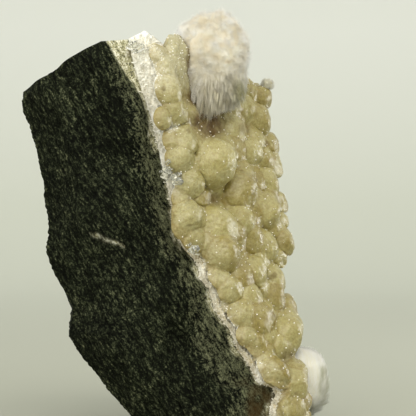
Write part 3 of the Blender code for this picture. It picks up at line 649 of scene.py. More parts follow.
def waxy_crust(settings):
    """A crust of radiating fibres ended as balls, with the polish of wax. Light goes a
    millimetre or two into it, so the balls glow softly and have no hard shade; the
    creases and low places are painted brown, partly limonite and partly painted shade, a
    dark brown painted shadow lies under the puffball and in the hollows, the edge is frosted
    by the druse's sugar, and a fine skin, drawn at 0.5 mm because the real one is too fine
    to show, breaks up the shine."""
    made, tree, place = start_material("waxy_prehnite_crust")
    crease, pale, stain, tint, frost = [
        add_node(tree, "Attribute", {"attribute_name": name}).outputs["Fac"]
        for name in ("crease", "pale", "stain", "tint", "frost")]
    cloud = add_node(tree, "TexNoise", {"Scale": per_size(3.2), "Detail": 5.0,
                                        "Roughness": 0.55}, {"Vector": place})
    shade = add_node(tree, "Math", {"operation": "MULTIPLY_ADD", 1: 0.45},
                     {0: tint, 2: cloud.outputs["Fac"]})
    body = add_node(tree, "ValToRGB", {"stops": [
        (0.25, linear_rgba("8d8046")), (0.62, settings.colour[:]), (0.95, linear_rgba("b1aa7c"))]},
        {"Fac": shade.outputs[0]})
    paled = add_node(tree, "Mix", {"data_type": "RGBA", MIX_B: settings.pale[:]},
                     {MIX_FACTOR: pale, MIX_A: body.outputs[0]})
    # painted shade: the crease mark mixes in the brown of creases and low places, partly limonite,
    # partly painted shade
    creased = add_node(tree, "Mix", {"data_type": "RGBA", MIX_B: settings.stain[:]},
                       {MIX_FACTOR: crease, MIX_A: paled.outputs[MIX_OUT]})
    # painted shadow: the stain mark carries limonite blots and the painted shadow under the
    # puffball and in the hollows, mixed in as dark brown 553f0e
    rust = add_node(tree, "Math", {"operation": "MULTIPLY", "use_clamp": True},
                    {0: stain, 1: cloud.outputs["Fac"]})
    rust_and_shadow_mix = add_node(tree, "Mix", {"data_type": "RGBA", MIX_B: linear_rgba("553f0e")},
                     {MIX_FACTOR: rust.outputs[0], MIX_A: creased.outputs[MIX_OUT]})
    frosted = add_node(tree, "Mix", {"data_type": "RGBA", MIX_B: settings.frost[:]},
                       {MIX_FACTOR: frost, MIX_A: rust_and_shadow_mix.outputs[MIX_OUT]})
    skin = add_node(tree, "TexNoise", {"Scale": per_size(0.5), "Detail": 3.0,
                                       "Roughness": 0.6}, {"Vector": place})
    grainy = add_node(tree, "Mix", {"data_type": "RGBA", "blend_type": "MULTIPLY",
                                    MIX_FACTOR: 1.0},
                      {MIX_A: frosted.outputs[MIX_OUT], MIX_B: add_node(tree, "ValToRGB", {
                          "stops": [(0.36, linear_rgba("e2dbc8")), (0.62, linear_rgba("ffffff"))]},
                          {"Fac": skin.outputs["Fac"]}).outputs[0]})
    relief = add_node(tree, "Bump", {"Strength": 0.75, "Distance": 0.2 * MM},
                      {"Height": skin.outputs["Fac"]})
    dull = add_node(tree, "Math", {"operation": "MAXIMUM"}, {0: crease, 1: rust.outputs[0]})
    gloss = add_node(tree, "MapRange", {"From Min": 0.1, "From Max": 0.6, "To Min": 0.31,
                                        "To Max": 0.85}, {"Value": dull.outputs[0]})
    end_material(tree, {"IOR": 1.62, "Specular IOR Level": 0.4, "Subsurface Weight": 0.65,
                        "Subsurface Radius": (1.0, 0.9, 0.6),
                        "Subsurface Scale": 1.1 * MM},
                 {"Base Color": grainy.outputs[MIX_OUT], "Roughness": gloss.outputs[0],
                  "Normal": relief.outputs[0]})
    return made


def okenite_fibre(settings):
    """Okenite: hair-thin needles, matted like wool. White and silky where fresh, cream
    where handled and dusty, grey where so thin that the dark shows through, and grey and
    rust-coloured on shaded sides as painted shade."""
    made, tree, place = start_material("okenite_fibre")
    cream, grey, rust, tone = [
        add_node(tree, "Attribute", {"attribute_name": name}).outputs["Fac"]
        for name in ("cream", "grey", "rust", "tone")]
    lock = add_node(tree, "TexNoise", {"Scale": per_size(2.4), "Detail": 4.0},
                    {"Vector": place})
    white = add_node(tree, "ValToRGB", {"stops": [
        (0.0, linear_rgba("e2d8b2")), (0.5, settings.colour[:]), (1.0, linear_rgba("fffefa"))]},
        {"Fac": tone})
    matted = add_node(tree, "Math", {"operation": "MULTIPLY", "use_clamp": True},
                      {0: cream, 1: add_node(tree, "MapRange", {
                          "From Min": 0.35, "From Max": 0.6, "To Min": 0.35, "To Max": 1.0},
                          {"Value": lock.outputs["Fac"]}).outputs[0]})
    creamed = add_node(tree, "Mix", {"data_type": "RGBA", MIX_B: settings.cream[:]},
                       {MIX_FACTOR: matted.outputs[0], MIX_A: white.outputs[0]})
    # painted shade: the grey mark is partly thin fibres, partly painted shade
    greyed = add_node(tree, "Mix", {"data_type": "RGBA", MIX_B: settings.translucent_and_shade[:]},
                      {MIX_FACTOR: grey, MIX_A: creamed.outputs[MIX_OUT]})
    # painted shade: the rust mark is partly real stain, partly painted shade at the puffball's
    # bottom
    rusted = add_node(tree, "Mix", {"data_type": "RGBA", MIX_B: settings.stain[:]},
                      {MIX_FACTOR: rust, MIX_A: greyed.outputs[MIX_OUT]})
    end_material(tree, {"Roughness": 0.6, "IOR": 1.53, "Specular IOR Level": 0.3,
                        "Sheen Weight": 0.6, "Sheen Roughness": 0.45},
                 {"Base Color": rusted.outputs[MIX_OUT]})
    return made


def stage_paper(settings):
    """Matt studio paper in one sweep. Its colour is painted from a mid grey-green round the
    middle to a pale one at the wall, as painted shade low and painted light high. Its fibres
    are drawn at 1.2 mm, because real ones are too fine to show."""
    made, tree, place = start_material("graduated_paper")
    away = add_node(tree, "VectorMath", {"operation": "LENGTH"}, {0: place}).outputs["Value"]
    rise = add_node(tree, "MapRange", {"From Min": 0.0, "From Max": STAGE_FLAT + STAGE_CURVE},
                    {"Value": away})
    # painted light and shade: darker on the floor, paler up the wall
    colour = add_node(tree, "ValToRGB", {"stops": [
        (0.0, settings.floor[:]), (0.75, settings.middle[:]), (0.92, settings.wall[:])]},
        {"Fac": rise.outputs[0]})
    fibre = add_node(tree, "TexNoise", {"Scale": per_size(1.2), "Detail": 3.0},
                     {"Vector": place})
    relief = add_node(tree, "Bump", {"Strength": 0.1, "Distance": 0.05 * MM},
                      {"Height": fibre.outputs["Fac"]})
    end_material(tree, {"Roughness": 0.95, "Specular IOR Level": 0.15},
                 {"Base Color": colour.outputs[0], "Normal": relief.outputs[0]})
    return made


# ================================================================ basalt
def block_rings(shares):
    """Rings round the block, one for each share of the height, and how much of the
    relief each point takes.

    Between two arrises a ring runs straight: start + (end - start) * t. Near an arris the
    point moves towards the ring's middle by the arris's wear times
    exp(-(distance / reach)^2). The contact face takes no relief, and beside it the
    relief grows as a smooth step."""
    spread = np.linspace(0, 1, 7)
    left, bevel = along(LEFT_ARRIS, shares), along(BEVEL_ARRIS, shares)
    ridge = left + (bevel - left) * NEAR_RIDGE_SHARE
    ridge[:, 1] = NEAR_RIDGE_Y
    corners = np.stack([left, ridge, bevel, along(CONTACT_ARRIS, shares),
                        along(FAR_ARRIS, shares), along(BACK_RIGHT_ARRIS, shares),
                        along(BACK_LEFT_ARRIS, shares)], axis=1)
    middle = corners.mean(1)[:, None]
    points, weights = [], []
    for face, cells in enumerate(FACE_CELLS.values()):
        following = (face + 1) % len(spread)
        start, end = corners[:, face:face + 1], corners[:, following:following + 1]
        t = (np.arange(cells) / cells)[None, :, None]
        width = np.linalg.norm(end - start, axis=-1, keepdims=True)
        spot = start + (end - start) * t
        worn = (WEAR[face] * np.exp(-(width * t / WEAR_REACH) ** 2)
                + WEAR[following] * np.exp(-(width * (1 - t) / WEAR_REACH) ** 2))
        points.append(spot + unit(middle - spot) * worn)
        t = np.broadcast_to(t[..., 0], spot.shape[:2])
        taken = smooth_step(t * 2) if WEAR[face] == 0 else 1.0
        taken = taken * (smooth_step((1 - t) * 2) if WEAR[following] == 0 else 1.0)
        weights.append(np.broadcast_to(0.0 if face == CONTACT_FACE else taken, t.shape))
    return np.concatenate(points, axis=1), np.concatenate(weights, axis=1)


def outward_from_axis(points):
    """Unit directions across the block's leaning axis, whose x is its foot's x plus the
    lean times z."""
    middle = np.stack([AXIS_FOOT[0] + points[..., 2] * AXIS_LEAN,
                       np.full(points.shape[:-1], AXIS_FOOT[1]), points[..., 2]], axis=-1)
    return unit(points - middle)


def coarse_relief(points):
    """The block's main relief: two scales of waves, the finer one drawn out along the
    bedding, less the chips, each depth * exp(-(distance / radius)^2)."""
    bedding = points * (1.0, 1.0, 0.45) + points[..., 2:3] * (0.15, 0, 0)
    back = smooth_step((points[..., 1] - 10.0) / 12.0)
    depth = (0.55 + 0.75 * back) * waves(points, 21, 17.0) + 0.38 * waves(bedding, 22, 6.5)
    for x, y, z, radius, chip in CHIPS:
        reach = np.linalg.norm((points - (x, y, z)) / (radius, radius * 1.4, radius), axis=-1)
        depth = depth - chip * np.exp(-reach ** 2)
    return depth


def break_relief(points, settings):
    """The fine relief of the break: noise drawn out along the streaks, at two sizes; low
    steps across them, each a steep rise of one part in eight and a long fall; and the
    rock's grain at two sizes."""
    along_streak = points @ STREAK
    squeezed = points - along_streak[..., None] * STREAK * 0.68
    streaks = grain(squeezed, 61, 2.1) + 0.5 * grain(squeezed, 62, 0.95)
    shift = 2.4 * grain(points, 64, 9.0) + 0.5 * grain(points, 66, 2.5)
    step = ((points[..., 0] * 0.944 + points[..., 2] * 0.33 + shift) / LEDGE_SPACING) % 1
    ledges = smooth_step(step * 8) - step
    rough = grain(points, 63, 0.85) + 0.7 * grain(points, 65, 0.5)
    return (settings.streak_height * streaks + settings.ledge_height * ledges
            + settings.grain_height * rough) / MM


def top_slope(rim):
    """The tilted plane nearest to the rim, as z = a x + b y + c."""
    flat = np.column_stack([rim[:, 0], rim[:, 1], np.ones(len(rim))])
    return np.linalg.lstsq(flat, rim[:, 2], rcond=None)[0]


def cap_rings(rim, slope, steps):
    """Rings of the broken top: rim + (middle - rim) * step, led from the rim's own height
    to the tilted plane with its relief."""
    ring = rim + (rim.mean(0) - rim) * steps[:, None, None]
    plane = ring[..., 0] * slope[0] + ring[..., 1] * slope[1] + slope[2]
    relief = 1.3 * waves(ring * (1, 1, 0), 23, 14.0) + 0.5 * waves(ring * (1, 1, 0), 24, 6.0)
    led = smooth_step(steps * 2.2)[:, None]
    ring[..., 2] = ring[..., 2] * (1 - led) + (plane + relief) * led
    return ring


def build_basalt(settings, material):
    """Rings up the block, then rings over its broken top, closed by two poles. Each point
    is moved out from the axis by the coarse relief, then by the fine one."""
    shares = np.linspace(0.0, 1.0, BLOCK_ROWS)
    points, weights = block_rings(shares)
    fade = smooth_step(points[..., 2] / BASE_FLAT_TO)
    out = outward_from_axis(points)
    points = points + out * (coarse_relief(points) * weights * fade)[..., None]
    steps = np.linspace(0, 1, CAP_ROWS + 2)[1:-1]
    cap = cap_rings(points[-1], top_slope(points[-1]), steps)
    fine = break_relief(points, settings) * weights * smooth_step(points[..., 2] / 1.5)
    rim = smooth_step((1.0 - shares) * 40)[:, None]
    points = points + out * (fine * rim)[..., None]
    cap[..., 2] += break_relief(cap, settings) * smooth_step(steps * 12)[:, None]
    rings = np.concatenate([points, cap])
    rows, columns = rings.shape[:2]
    poles = np.stack([rings[0].mean(0), rings[-1].mean(0)])
    spots = np.concatenate([rings.reshape(-1, 3), poles])
    mesh = mesh_of("basalt_block", spots, grid_faces(rows, columns, closed=True),
                   pole_faces(rows, columns))
    paint(mesh, **basalt_marks(spots))
    add_piece("basalt_block", mesh, material, "basalt_matrix")


def basalt_marks(spots):
    """Where the basalt is flecked, bleached and iron-stained: smooth steps of the distance
    to the contact arris, made ragged by noise, and of the height."""
    arris = along(CONTACT_ARRIS, spots[:, 2] / CONTACT_ARRIS[-1][2])
    away = np.linalg.norm(spots - arris, axis=1)
    rough = 0.7 * grain(spots, 68, 1.6)
    ragged = away + 1.6 * grain(spots, 67, 5.0) + rough
    wedge = ALTERED_WIDTH * np.clip((spots[:, 2] - ALTERED_FROM) / ALTERED_HEIGHT, 0, 1.1)
    bleached = smooth_step((wedge - away - 0.5 * rough) / 0.6)
    rim = 0.8 * smooth_step((1.3 - ragged) / 1.4)
    vein = 0.5 * vein_at(spots) * (0.75 + rough)
    x, z, radius = RUST_SPOT
    spot = np.exp(-((spots[:, 0] - x) ** 2 + (spots[:, 2] - z) ** 2) / radius ** 2)
    low = smooth_step((17.0 - spots[:, 2]) / 8.0) * smooth_step((8.0 - ragged) / 5.0)
    corner = 0.8 * low * smooth_step(0.9 + grain(spots, 69, 2.6))
    strip = STRIP_WIDTH + STRIP_MORE * smooth_step((38.0 - spots[:, 2]) / 20.0)
    return {
        "strip": smooth_step((strip - ragged) / 6.0),
        "altered": np.clip(bleached + rim + vein, 0, 1),
        "iron": np.clip(corner + 0.7 * spot, 0, 1),
    }


def vein_at(spots):
    """A pale lens in the basalt's front, thin and pointed: exp(-(distance from its line /
    half its thickness)^2), where the thickness falls to nothing at both ends."""
    start, end = np.array(VEIN)
    run = end - start
    right, up = spots[:, 0] - start[0], spots[:, 2] - start[1]
    share = (right * run[0] + up * run[1]) / (run @ run)
    off = (right * run[1] - up * run[0]) / math.hypot(*run) + 0.5 * grain(spots, 70, 2.5)
    half = VEIN_HALF * np.sqrt(np.clip(4 * share * (1 - share), 1e-3, 1))
    return np.exp(-(off / half) ** 2) * (spots[:, 1] < 12.0) * (np.abs(share - 0.5) < 0.55)


# ================================================================ druse
def rind_height(across, share):
    """Height of the druse's outer side above the contact face: its thickness, with waves
    along its near edge."""
    foot = contact(across, share)
    edge = smooth_step((0.12 - np.abs(across - 0.06)) / 0.12)
    return GAP + rind_thickness(across, share) + 0.35 * waves(foot, 31, 5.0) * edge


def rind_profile():
    """The slab's outline across, from the foot of its near edge out and over to the far
    edge and back under: across, and the share of the height, with the direction in which
    the sugary grain stands (along the face, off the face)."""
    near = [(0.0, v, -1.0, 0.25 * v) for v in np.linspace(0, 0.94, 14)]
    over = [(a, 1.0, -0.6 * (1 - a * 12) if a < 0.08 else 0.0, 1.0)
            for a in np.concatenate([np.linspace(0.004, 0.30, 46), np.linspace(0.34, 0.985, 14)])]
    far = [(0.985, v, 0.4, 0.2) for v in (0.6, 0.2)]
    under = [(a, 0.0, 0.0, 0.0) for a in np.linspace(0.985, 0.03, 12)]
    return np.array(near + over + far + under)


def build_rind(settings, material):
    """The profile carried up the contact face, roughened by noise at three sizes along the
    direction in which its grain stands."""
    profile = rind_profile()
    share = np.linspace(RIND_FROM, 1.0, RIND_ROWS)[:, None]
    across = np.broadcast_to(profile[:, 0], (RIND_ROWS, len(profile)))
    share = np.broadcast_to(share, across.shape)
    top = rind_height(across, share)
    height = GAP + (top - GAP) * profile[:, 1]
    points = contact(across, share) + OUTWARD * height[..., None]
    run = unit(along(FAR_ARRIS, share) - along(CONTACT_ARRIS, share))
    stand = run * profile[None, :, 2:3] + OUTWARD * profile[None, :, 3:4]
    rough = grain(points, 71, 0.75) + 0.8 * grain(points, 72, 1.7) + 0.5 * waves(points, 73, 4.0)
    points = points + stand * (rough * settings.grain_height / MM)[..., None]
    rows, columns = points.shape[:2]
    poles = np.stack([points[0].mean(0), points[-1].mean(0)])
    spots = np.concatenate([points.reshape(-1, 3), poles])
    mesh = mesh_of("druse_skin", spots, grid_faces(rows, columns, closed=True),
                   pole_faces(rows, columns))
    paint(mesh, stain=druse_stain(spots))
    add_piece("druse_skin", mesh, material, "druse_rind")


def druse_stain(spots):
    """Where limonite soaked into the druse: a band about its middle and a stretch below,
    both with white places left, and blots."""
    band = smooth_step((13.0 - np.abs(spots[..., 2] - 52.0)) / 7.0)
    under = 0.85 * smooth_step((46.0 - spots[..., 2]) / 8.0)
    blots = smooth_step((grain(spots, 75, 4.0) - 0.35) / 0.3)
    soaked = np.maximum(band, under) * smooth_step(grain(spots, 74, 3.0) + 0.9)
    return 1.9 * np.maximum(soaked, 0.5 * blots)


# One crystal: a square prism of half width 1 and height 1 under a low pyramid.
CRYSTAL_POINTS = np.array([(-1, -1, 0), (1, -1, 0), (1, 1, 0), (-1, 1, 0),
                           (-1, -1, 1), (1, -1, 1), (1, 1, 1), (-1, 1, 1), (0, 0, 1.35)], float)
CRYSTAL_SIDES = np.array([(0, 1, 5, 4), (1, 2, 6, 5), (2, 3, 7, 6), (3, 0, 4, 7), (3, 2, 1, 0)])
CRYSTAL_TOPS = np.array([(4, 5, 8), (5, 6, 8), (6, 7, 8), (7, 4, 8)])


def crystals_at(roots, ways, lengths, widths, rng):
    """Copies of the crystal: root + (across * x + other * y) * width + way * z * length,
    with across and other at right angles to way, turned at random."""
    across = unit(np.cross(ways, unit(rng.normal(size=ways.shape))))
    other = np.cross(ways, across)
    local = CRYSTAL_POINTS[None]
    return (roots[:, None] + (across[:, None] * local[..., 0:1] + other[:, None] * local[..., 1:2])
            * widths[:, None, None] + ways[:, None] * local[..., 2:3] * lengths[:, None, None])


def crystal_mesh(name, points):
    """Copies of the crystal as one mesh with flat faces."""
    copies, size = points.shape[:2]
    mesh = mesh_of(name, points, repeated_faces(CRYSTAL_SIDES, size, copies),
                   repeated_faces(CRYSTAL_TOPS, size, copies))
    mesh.polygons.foreach_set("use_smooth", np.zeros(len(mesh.polygons), bool))
    return mesh


def build_druse_points(settings, material):
    """Small crystals strewn on the druse's open edge and outer side, leaning out of it by
    a random direction each, longer on its upper half."""
    rng = np.random.default_rng(81)
    count = settings.crystal_count
    share = rng.uniform(0.04, 0.995, count)
    on_edge = rng.random(count) < 0.55
    across = np.where(on_edge, 0.0, rng.uniform(0.0, 0.13, count))
    rise = np.where(on_edge, rng.uniform(0.1, 1.0, count), 1.0)
    top = rind_height(across, share)
    roots = contact(across, share) + OUTWARD * (GAP + (top - GAP) * rise - 0.1)[:, None]
    run = unit(along(FAR_ARRIS, share) - along(CONTACT_ARRIS, share))
    out = np.where(on_edge[:, None], OUTWARD * 0.4 - run, OUTWARD - run * 0.2)
    ways = unit(out + rng.normal(scale=0.55, size=roots.shape))
    lengths = settings.crystal_size / MM * rng.uniform(0.5, 1.5, count)
    widths = lengths * rng.uniform(0.12, 0.32, count)
    lengths = lengths * (1.0 + 0.9 * smooth_step((share - 0.5) / 0.3))
    mesh = crystal_mesh("druse_crystals", crystals_at(roots, ways, lengths, widths, rng))
    paint(mesh, stain=np.repeat(0.5 * druse_stain(roots), len(CRYSTAL_POINTS)))
    add_piece("druse_crystals", mesh, material)


# ================================================================ crust
def all_balls():
    """The named balls, then fillers thrown on the free places of the face, off its near
    edge, more so near the top, and off the hollows: centres and radii."""
    centres, radii = [], []
    for x, z, radius, lift in BALLS:
        height = GAP + RIND_THIN + lift * radius
        for _ in range(3):
            across, share, centre = seat(x, z, height)
            height = GAP + rind_thickness(across, share) + lift * radius
        centres.append(centre)
        radii.append(radius)
    rng = np.random.default_rng(FILLER_SEED)
    for _ in range(FILLER_TRIES):
        across, share = rng.uniform(0.0, 1.03), rng.uniform(0.02, 0.995)
        radius = rng.uniform(*FILLER_RADII)
        foot = contact(across, share)
        from_edge = np.linalg.norm(foot - contact(0.0, share))
        if from_edge < 1.8 + radius * 0.5 + 3.0 * smooth_step((share - 0.7) / 0.25):
            continue
        height = GAP + rind_thickness(across, share) + radius * rng.uniform(*FILLER_LIFTS)
        centre = foot + OUTWARD * height
        if any(math.hypot(centre[0] - x, centre[2] - z) < size + 0.6 * radius
               for x, z, size in HOLLOWS):
            continue
        away = np.linalg.norm(np.array(centres) - centre, axis=1)
        if (away > FILLER_SPACING * (radius + np.array(radii))).all():
            centres.append(centre)
            radii.append(radius)
    return np.array(centres), np.array(radii)


def ball_points(rows, columns):
    """A unit ball: latitude by longitude, then its two poles."""
    lat, lon = np.meshgrid((np.arange(rows) + 1) * math.pi / (rows + 1) - math.pi / 2,
                           np.arange(columns) * 2 * math.pi / columns, indexing="ij")
    ring = np.stack([np.cos(lat) * np.cos(lon), np.cos(lat) * np.sin(lon), np.sin(lat)], -1)
    return np.concatenate([ring.reshape(-1, 3), [(0, 0, -1), (0, 0, 1)]])


def bed_thickness(across):
    """The crust between the balls: thin at the druse's near edge, thicker within."""
    return BED_THICK * (0.35 + 0.65 * smooth_step(across / 0.16))


def bed_points():
    """The bed between the balls: rings over and under, from just above the druse to the
    bed's own height."""
    rows, columns = BED_GRID
    across, share = np.meshgrid(np.linspace(0.0, 1.0, columns) ** 1.2,
                                np.linspace(BED_FROM, BED_TO, rows))
    width = np.linalg.norm(contact(np.ones(rows), share[:, 0])
                           - contact(np.zeros(rows), share[:, 0]), axis=-1)[:, None]
    pulled = across + BED_PULL * (0.5 - across) * 2 / width
    low = contact(across, share) + OUTWARD * (GAP + 0.9 * rind_thickness(across, share))[..., None]
    high = contact(pulled, share) + OUTWARD * (GAP + rind_thickness(across, share)
                                               + bed_thickness(across))[..., None]
    return np.concatenate([high, low[:, ::-1]], axis=1)


def raw_crust(centres, radii, cell):
    """Balls and bed joined into one skin by Blender's voxel remesh."""
    rows, columns = BALL_GRID
    ball = ball_points(rows, columns)
    balls = centres[:, None] + ball[None] * radii[:, None, None]
    bed = bed_points()
    bed_rows, bed_columns = bed.shape[:2]
    spots = np.concatenate([balls.reshape(-1, 3), bed.reshape(-1, 3),
                            [bed[0].mean(0), bed[-1].mean(0)]])
    start = balls.shape[0] * balls.shape[1]
    ball_quads = repeated_faces(grid_faces(rows, columns, closed=True), len(ball), len(radii))
    ball_poles = repeated_faces(pole_faces(rows, columns), len(ball), len(radii))
    mesh = mesh_of("crust_raw", spots, ball_quads, ball_poles,
                   grid_faces(bed_rows, bed_columns, closed=True) + start,
                   pole_faces(bed_rows, bed_columns) + start)
    raw = bpy.data.objects.new("crust_raw", mesh)
    bpy.context.scene.collection.objects.link(raw)
    joined = raw.modifiers.new("join", "REMESH")
    joined.mode = "VOXEL"
    joined.voxel_size = cell
    joined.use_smooth_shade = True
    graph = bpy.context.evaluated_depsgraph_get()
    skin = bpy.data.meshes.new_from_object(raw.evaluated_get(graph))
    bpy.data.objects.remove(raw)
    bpy.data.meshes.remove(mesh)
    return skin


def merged_skin(spots, over_bed, centres, radii, reach):
    """The distance of points from one soft skin over the bed and all the balls, and the way
    out of it. The skin is -reach * log(sum of exp(-distance / reach)), so that they run
    into each other with a fillet about as wide as the reach; the way out is the mean of
    their ways out, each weighed with its term of the sum. Exponents are held in bounds."""
    total = np.exp(-np.clip(over_bed / reach, -8, 40))
    out = OUTWARD * total[:, None]
    for centre, radius in zip(centres, radii):
        ray = spots - centre
        away = np.linalg.norm(ray, axis=1)
        term = np.exp(-np.clip((away - radius) / reach, -8, 40))
        total += term
        out += ray * (term / np.maximum(away, 1e-6))[:, None]
    return -reach * np.log(total + 1e-12), out / (total + 1e-12)[:, None]


def nearest_balls(spots, centres, radii):
    """For each point, the ball whose skin is nearest and how far off it lies, with the
    distance to the second nearest skin."""
    first = np.full(len(spots), 1e9)
    second = np.full(len(spots), 1e9)
    owner = np.zeros(len(spots), int)
    for index, (centre, radius) in enumerate(zip(centres, radii)):
        away = np.linalg.norm(spots - centre, axis=1) - radius
        closer = away < first
        second = np.where(closer, first, np.minimum(second, away))
        owner = np.where(closer, index, owner)
        first = np.where(closer, away, first)
    return owner, first, second


def ball_growth(centre, radii, spots):
    """How far points lie outside an ellipsoid, in millimetres along its shortest radius."""
    return (np.linalg.norm((spots - centre) / radii, axis=-1) - 1) * min(radii)


def build_crust(settings, material, sugar):
    """One skin of all the balls. The points are led onto the soft skin over the balls, bent
    a little by noise except round the largest ball, then swelled along their way out by
    noise at four sizes, with knobs near the druse, and kept off the druse."""
    centres, radii = all_balls()
    mesh = raw_crust(centres, radii, settings.cell)
    spots = np.empty(len(mesh.vertices) * 3)
    mesh.vertices.foreach_get("co", spots)
    spots = from_frame(spots.reshape(-1, 3))
    owner, first, second = nearest_balls(spots, centres, radii)
    across, share, height = face_under(spots)
    bed = (GAP + rind_thickness(across, share) + bed_thickness(across)
           + 0.55 * grain(spots, 90, 2.4) * smooth_step(across / 0.1))
    near = smooth_step((height - bed + bed_thickness(across) * 0.75) / 0.6)
    near = near * smooth_step(np.minimum(across, 1.04 - across) / 0.03)
    near = np.maximum(near, np.abs(first) < settings.cell / MM * 1.2)
    warp = 0.75 * np.stack([grain(spots, seed, 6.5) for seed in (86, 87, 88)], axis=1)
    roundest = BALLS.index(max(BALLS, key=lambda ball: ball[2]))
    beside = np.linalg.norm(spots - centres[roundest], axis=1) - radii[roundest]
    warp = warp * (0.25 + 0.75 * smooth_step(beside / 3.0))[:, None]
    for _ in range(3):
        away, out = merged_skin(spots + warp, height - bed, centres, radii,
                                settings.fillet / MM)
        move = -out * (np.clip(away, -1.0, 1.0) * near)[:, None]
        spots, height = spots + move, height + move @ OUTWARD
    ways = unit(out)
    swell = settings.swell / MM * (grain(spots, 91, 3.6) + 0.8 * np.abs(grain(spots, 96, 2.2)))
    knobbly = smooth_step((0.34 + 0.3 * smooth_step((share - 0.72) / 0.1) - across) / 0.2)
    knobs = 1.3 * settings.swell / MM * np.abs(grain(spots, 97, 1.5)) * knobbly
    skin = settings.skin_height / MM * grain(spots, 92, 0.8)
    spots = spots + ways * ((swell + knobs + skin) * near)[:, None]
    across, share, height = face_under(spots)
    floor = rind_height(np.clip(across, 0, 1), np.clip(share, 0, 1)) + 0.12
    lift = np.maximum(floor - height, 0) * (share < 1.0)
    spots = spots + OUTWARD * lift[:, None]
    spots[:, 2] = np.maximum(spots[:, 2], CRUST_FLOOR)
    mesh.vertices.foreach_set("co", to_frame(spots).ravel())
    mesh.update()
    marks = crust_marks(spots, radii, owner, first, second, across, share, height)
    paint(mesh, **marks)
    add_piece("crust_balls", mesh, material, "botryoidal_crust")
    build_crust_sugar(mesh, spots, marks["frost"], sugar)


def crust_marks(spots, radii, owner, first, second, across, share, height):
    """Where the crust is creased, pale, stained and frosted. A crease is where two balls'
    skins lie close together; creases and low places are painted darker brown, partly
    limonite and partly painted shade, the hollows are painted darker as painted shade, and a
    painted shadow of the puffball lies on the crust. Frost covers what lies near the druse's
    edge, and thinly the top."""
    crease = np.exp(-((second - first) / 0.45) ** 2) * 0.25
    # painted shade: low places between the balls are painted darker through the crease mark
    low = smooth_step((4.6 - (height - rind_thickness(across, share))) / 3.4)
    centre, body = GROWTHS["puffball"][:2]
    # painted shadow: a dark brown shadow painted on the crust under and beside the puffball
    painted_shadow = smooth_step((2.6 - ball_growth(np.array(centre), body, spots)) / 2.4)
    # painted shade: the hollows are painted dark brown as well, more so the larger ones
    for x, z, size in HOLLOWS:
        beside = np.hypot(spots[:, 0] - x, spots[:, 2] - z)
        deep = min(1.0, size / 4.0)
        painted_shadow = np.maximum(painted_shadow, deep * smooth_step((size * 1.2 - beside) / (size * 0.9)))
    tint = np.random.default_rng(93).uniform(-0.5, 0.5, len(radii))
    tint[np.argmax(radii)] = 0.6
    near_side = smooth_step((0.64 - across) / 0.25)
    pale = smooth_step((share - 0.72) / 0.2) * near_side
    beside_druse = 0.7 * smooth_step((0.13 - across) / 0.08)
    edge = np.zeros_like(share)
    rim = contact(edge, share) + OUTWARD * (GAP + rind_thickness(edge, share))[:, None]
    ragged = (np.linalg.norm(spots - rim, axis=1) + 1.1 * grain(spots, 98, 1.8)
              + grain(spots, 99, 5.0))
    reach = FROST_REACH + 1.2 * smooth_step((share - 0.5) / 0.3)
    frost = 0.7 * smooth_step((reach - ragged) / FROST_REACH)
    top = smooth_step((spots[:, 2] - 86.0) / 5.0) * near_side * (1 - painted_shadow)
    # painted shadow: this stain is the painted shadow of the puffball and the painted shade of the
    # hollows; the blots below are limonite
    soaked = 2.3 * painted_shadow * smooth_step(grain(spots, 94, 2.0) * 0.5 + 0.9)
    blots = 0.9 * smooth_step((grain(spots, 95, 3.2) - 0.58) / 0.2)
    return {
        # painted shade: the crease mark is partly limonite in the creases, partly painted shade in
        # creases and low places
        "crease": np.clip(crease + 0.45 * low, 0, 0.9),
        "pale": np.maximum(pale, beside_druse) * (1 - 0.5 * painted_shadow),
        "stain": np.clip(soaked + blots, 0, 1.8),
        "tint": tint[owner],
        "frost": np.maximum(frost, 0.2 * top),
    }


def build_crust_sugar(mesh, spots, frost, material):
    """The druse's grains strewn on the crust: thick where its edge is frosted, a few
    elsewhere. Each stands on a point of the crust's skin, along its way out."""
    rng = np.random.default_rng(99)
    chance = np.maximum(frost - 0.16, 0.0) + 0.016
    count = SUGAR_GRAINS
    picked = rng.choice(len(spots), count, p=chance / chance.sum())
    ways = np.empty(len(spots) * 3, np.float32)
    mesh.vertex_normals.foreach_get("vector", ways)
    ways = unit(ways.reshape(-1, 3)[picked] + rng.normal(scale=0.4, size=(count, 3)))
    lengths = rng.uniform(*SUGAR_LENGTHS, count)
    widths = lengths * rng.uniform(0.3, 0.55, count)
    roots = spots[picked] - 0.04 * ways
    grains = crystal_mesh("crust_sugar", crystals_at(roots, ways, lengths, widths, rng))
    add_piece("crust_sugar", grains, material)


def build_crust_crystals(material):
    """Clear crystals in the crust's hollows: short prisms that stand in groups of a few
    on named places."""
    rng = np.random.default_rng(97)
    roots, ways, lengths = [], [], []
    for x, z, count in CRYSTAL_GROUPS:
        foot = seat(x, z, GAP + RIND_THIN + BED_THICK)[2]
        roots.append(foot + rng.normal(scale=0.75, size=(count, 3)))
        ways.append(unit(OUTWARD + rng.normal(scale=0.5, size=(count, 3))))
        lengths.append(rng.uniform(*CRYSTAL_LENGTHS, count))
    roots, ways, lengths = map(np.concatenate, (roots, ways, lengths))
    widths = lengths * rng.uniform(0.22, 0.42, len(lengths))
    mesh = crystal_mesh("clear_crystals", crystals_at(roots, ways, lengths, widths, rng))
    add_piece("clear_crystals", mesh, material)


# ================================================================ okenite
def tuft_heads(count, seed):
    """Directions spread evenly over a ball along a golden-angle spiral, each a little
    off its place, and the generator that the tufts' sizes are drawn from next."""
    rng = np.random.default_rng(seed)
    rank = np.arange(count) + 0.5
    z = 1 - 2 * rank / count
    turn = math.pi * (1 + math.sqrt(5)) * rank
    flat = np.sqrt(1 - z * z)
    heads = np.stack([flat * np.cos(turn), flat * np.sin(turn), z], axis=1)
    heads += rng.normal(scale=0.10, size=heads.shape)
    return heads / np.linalg.norm(heads, axis=1)[:, None], rng


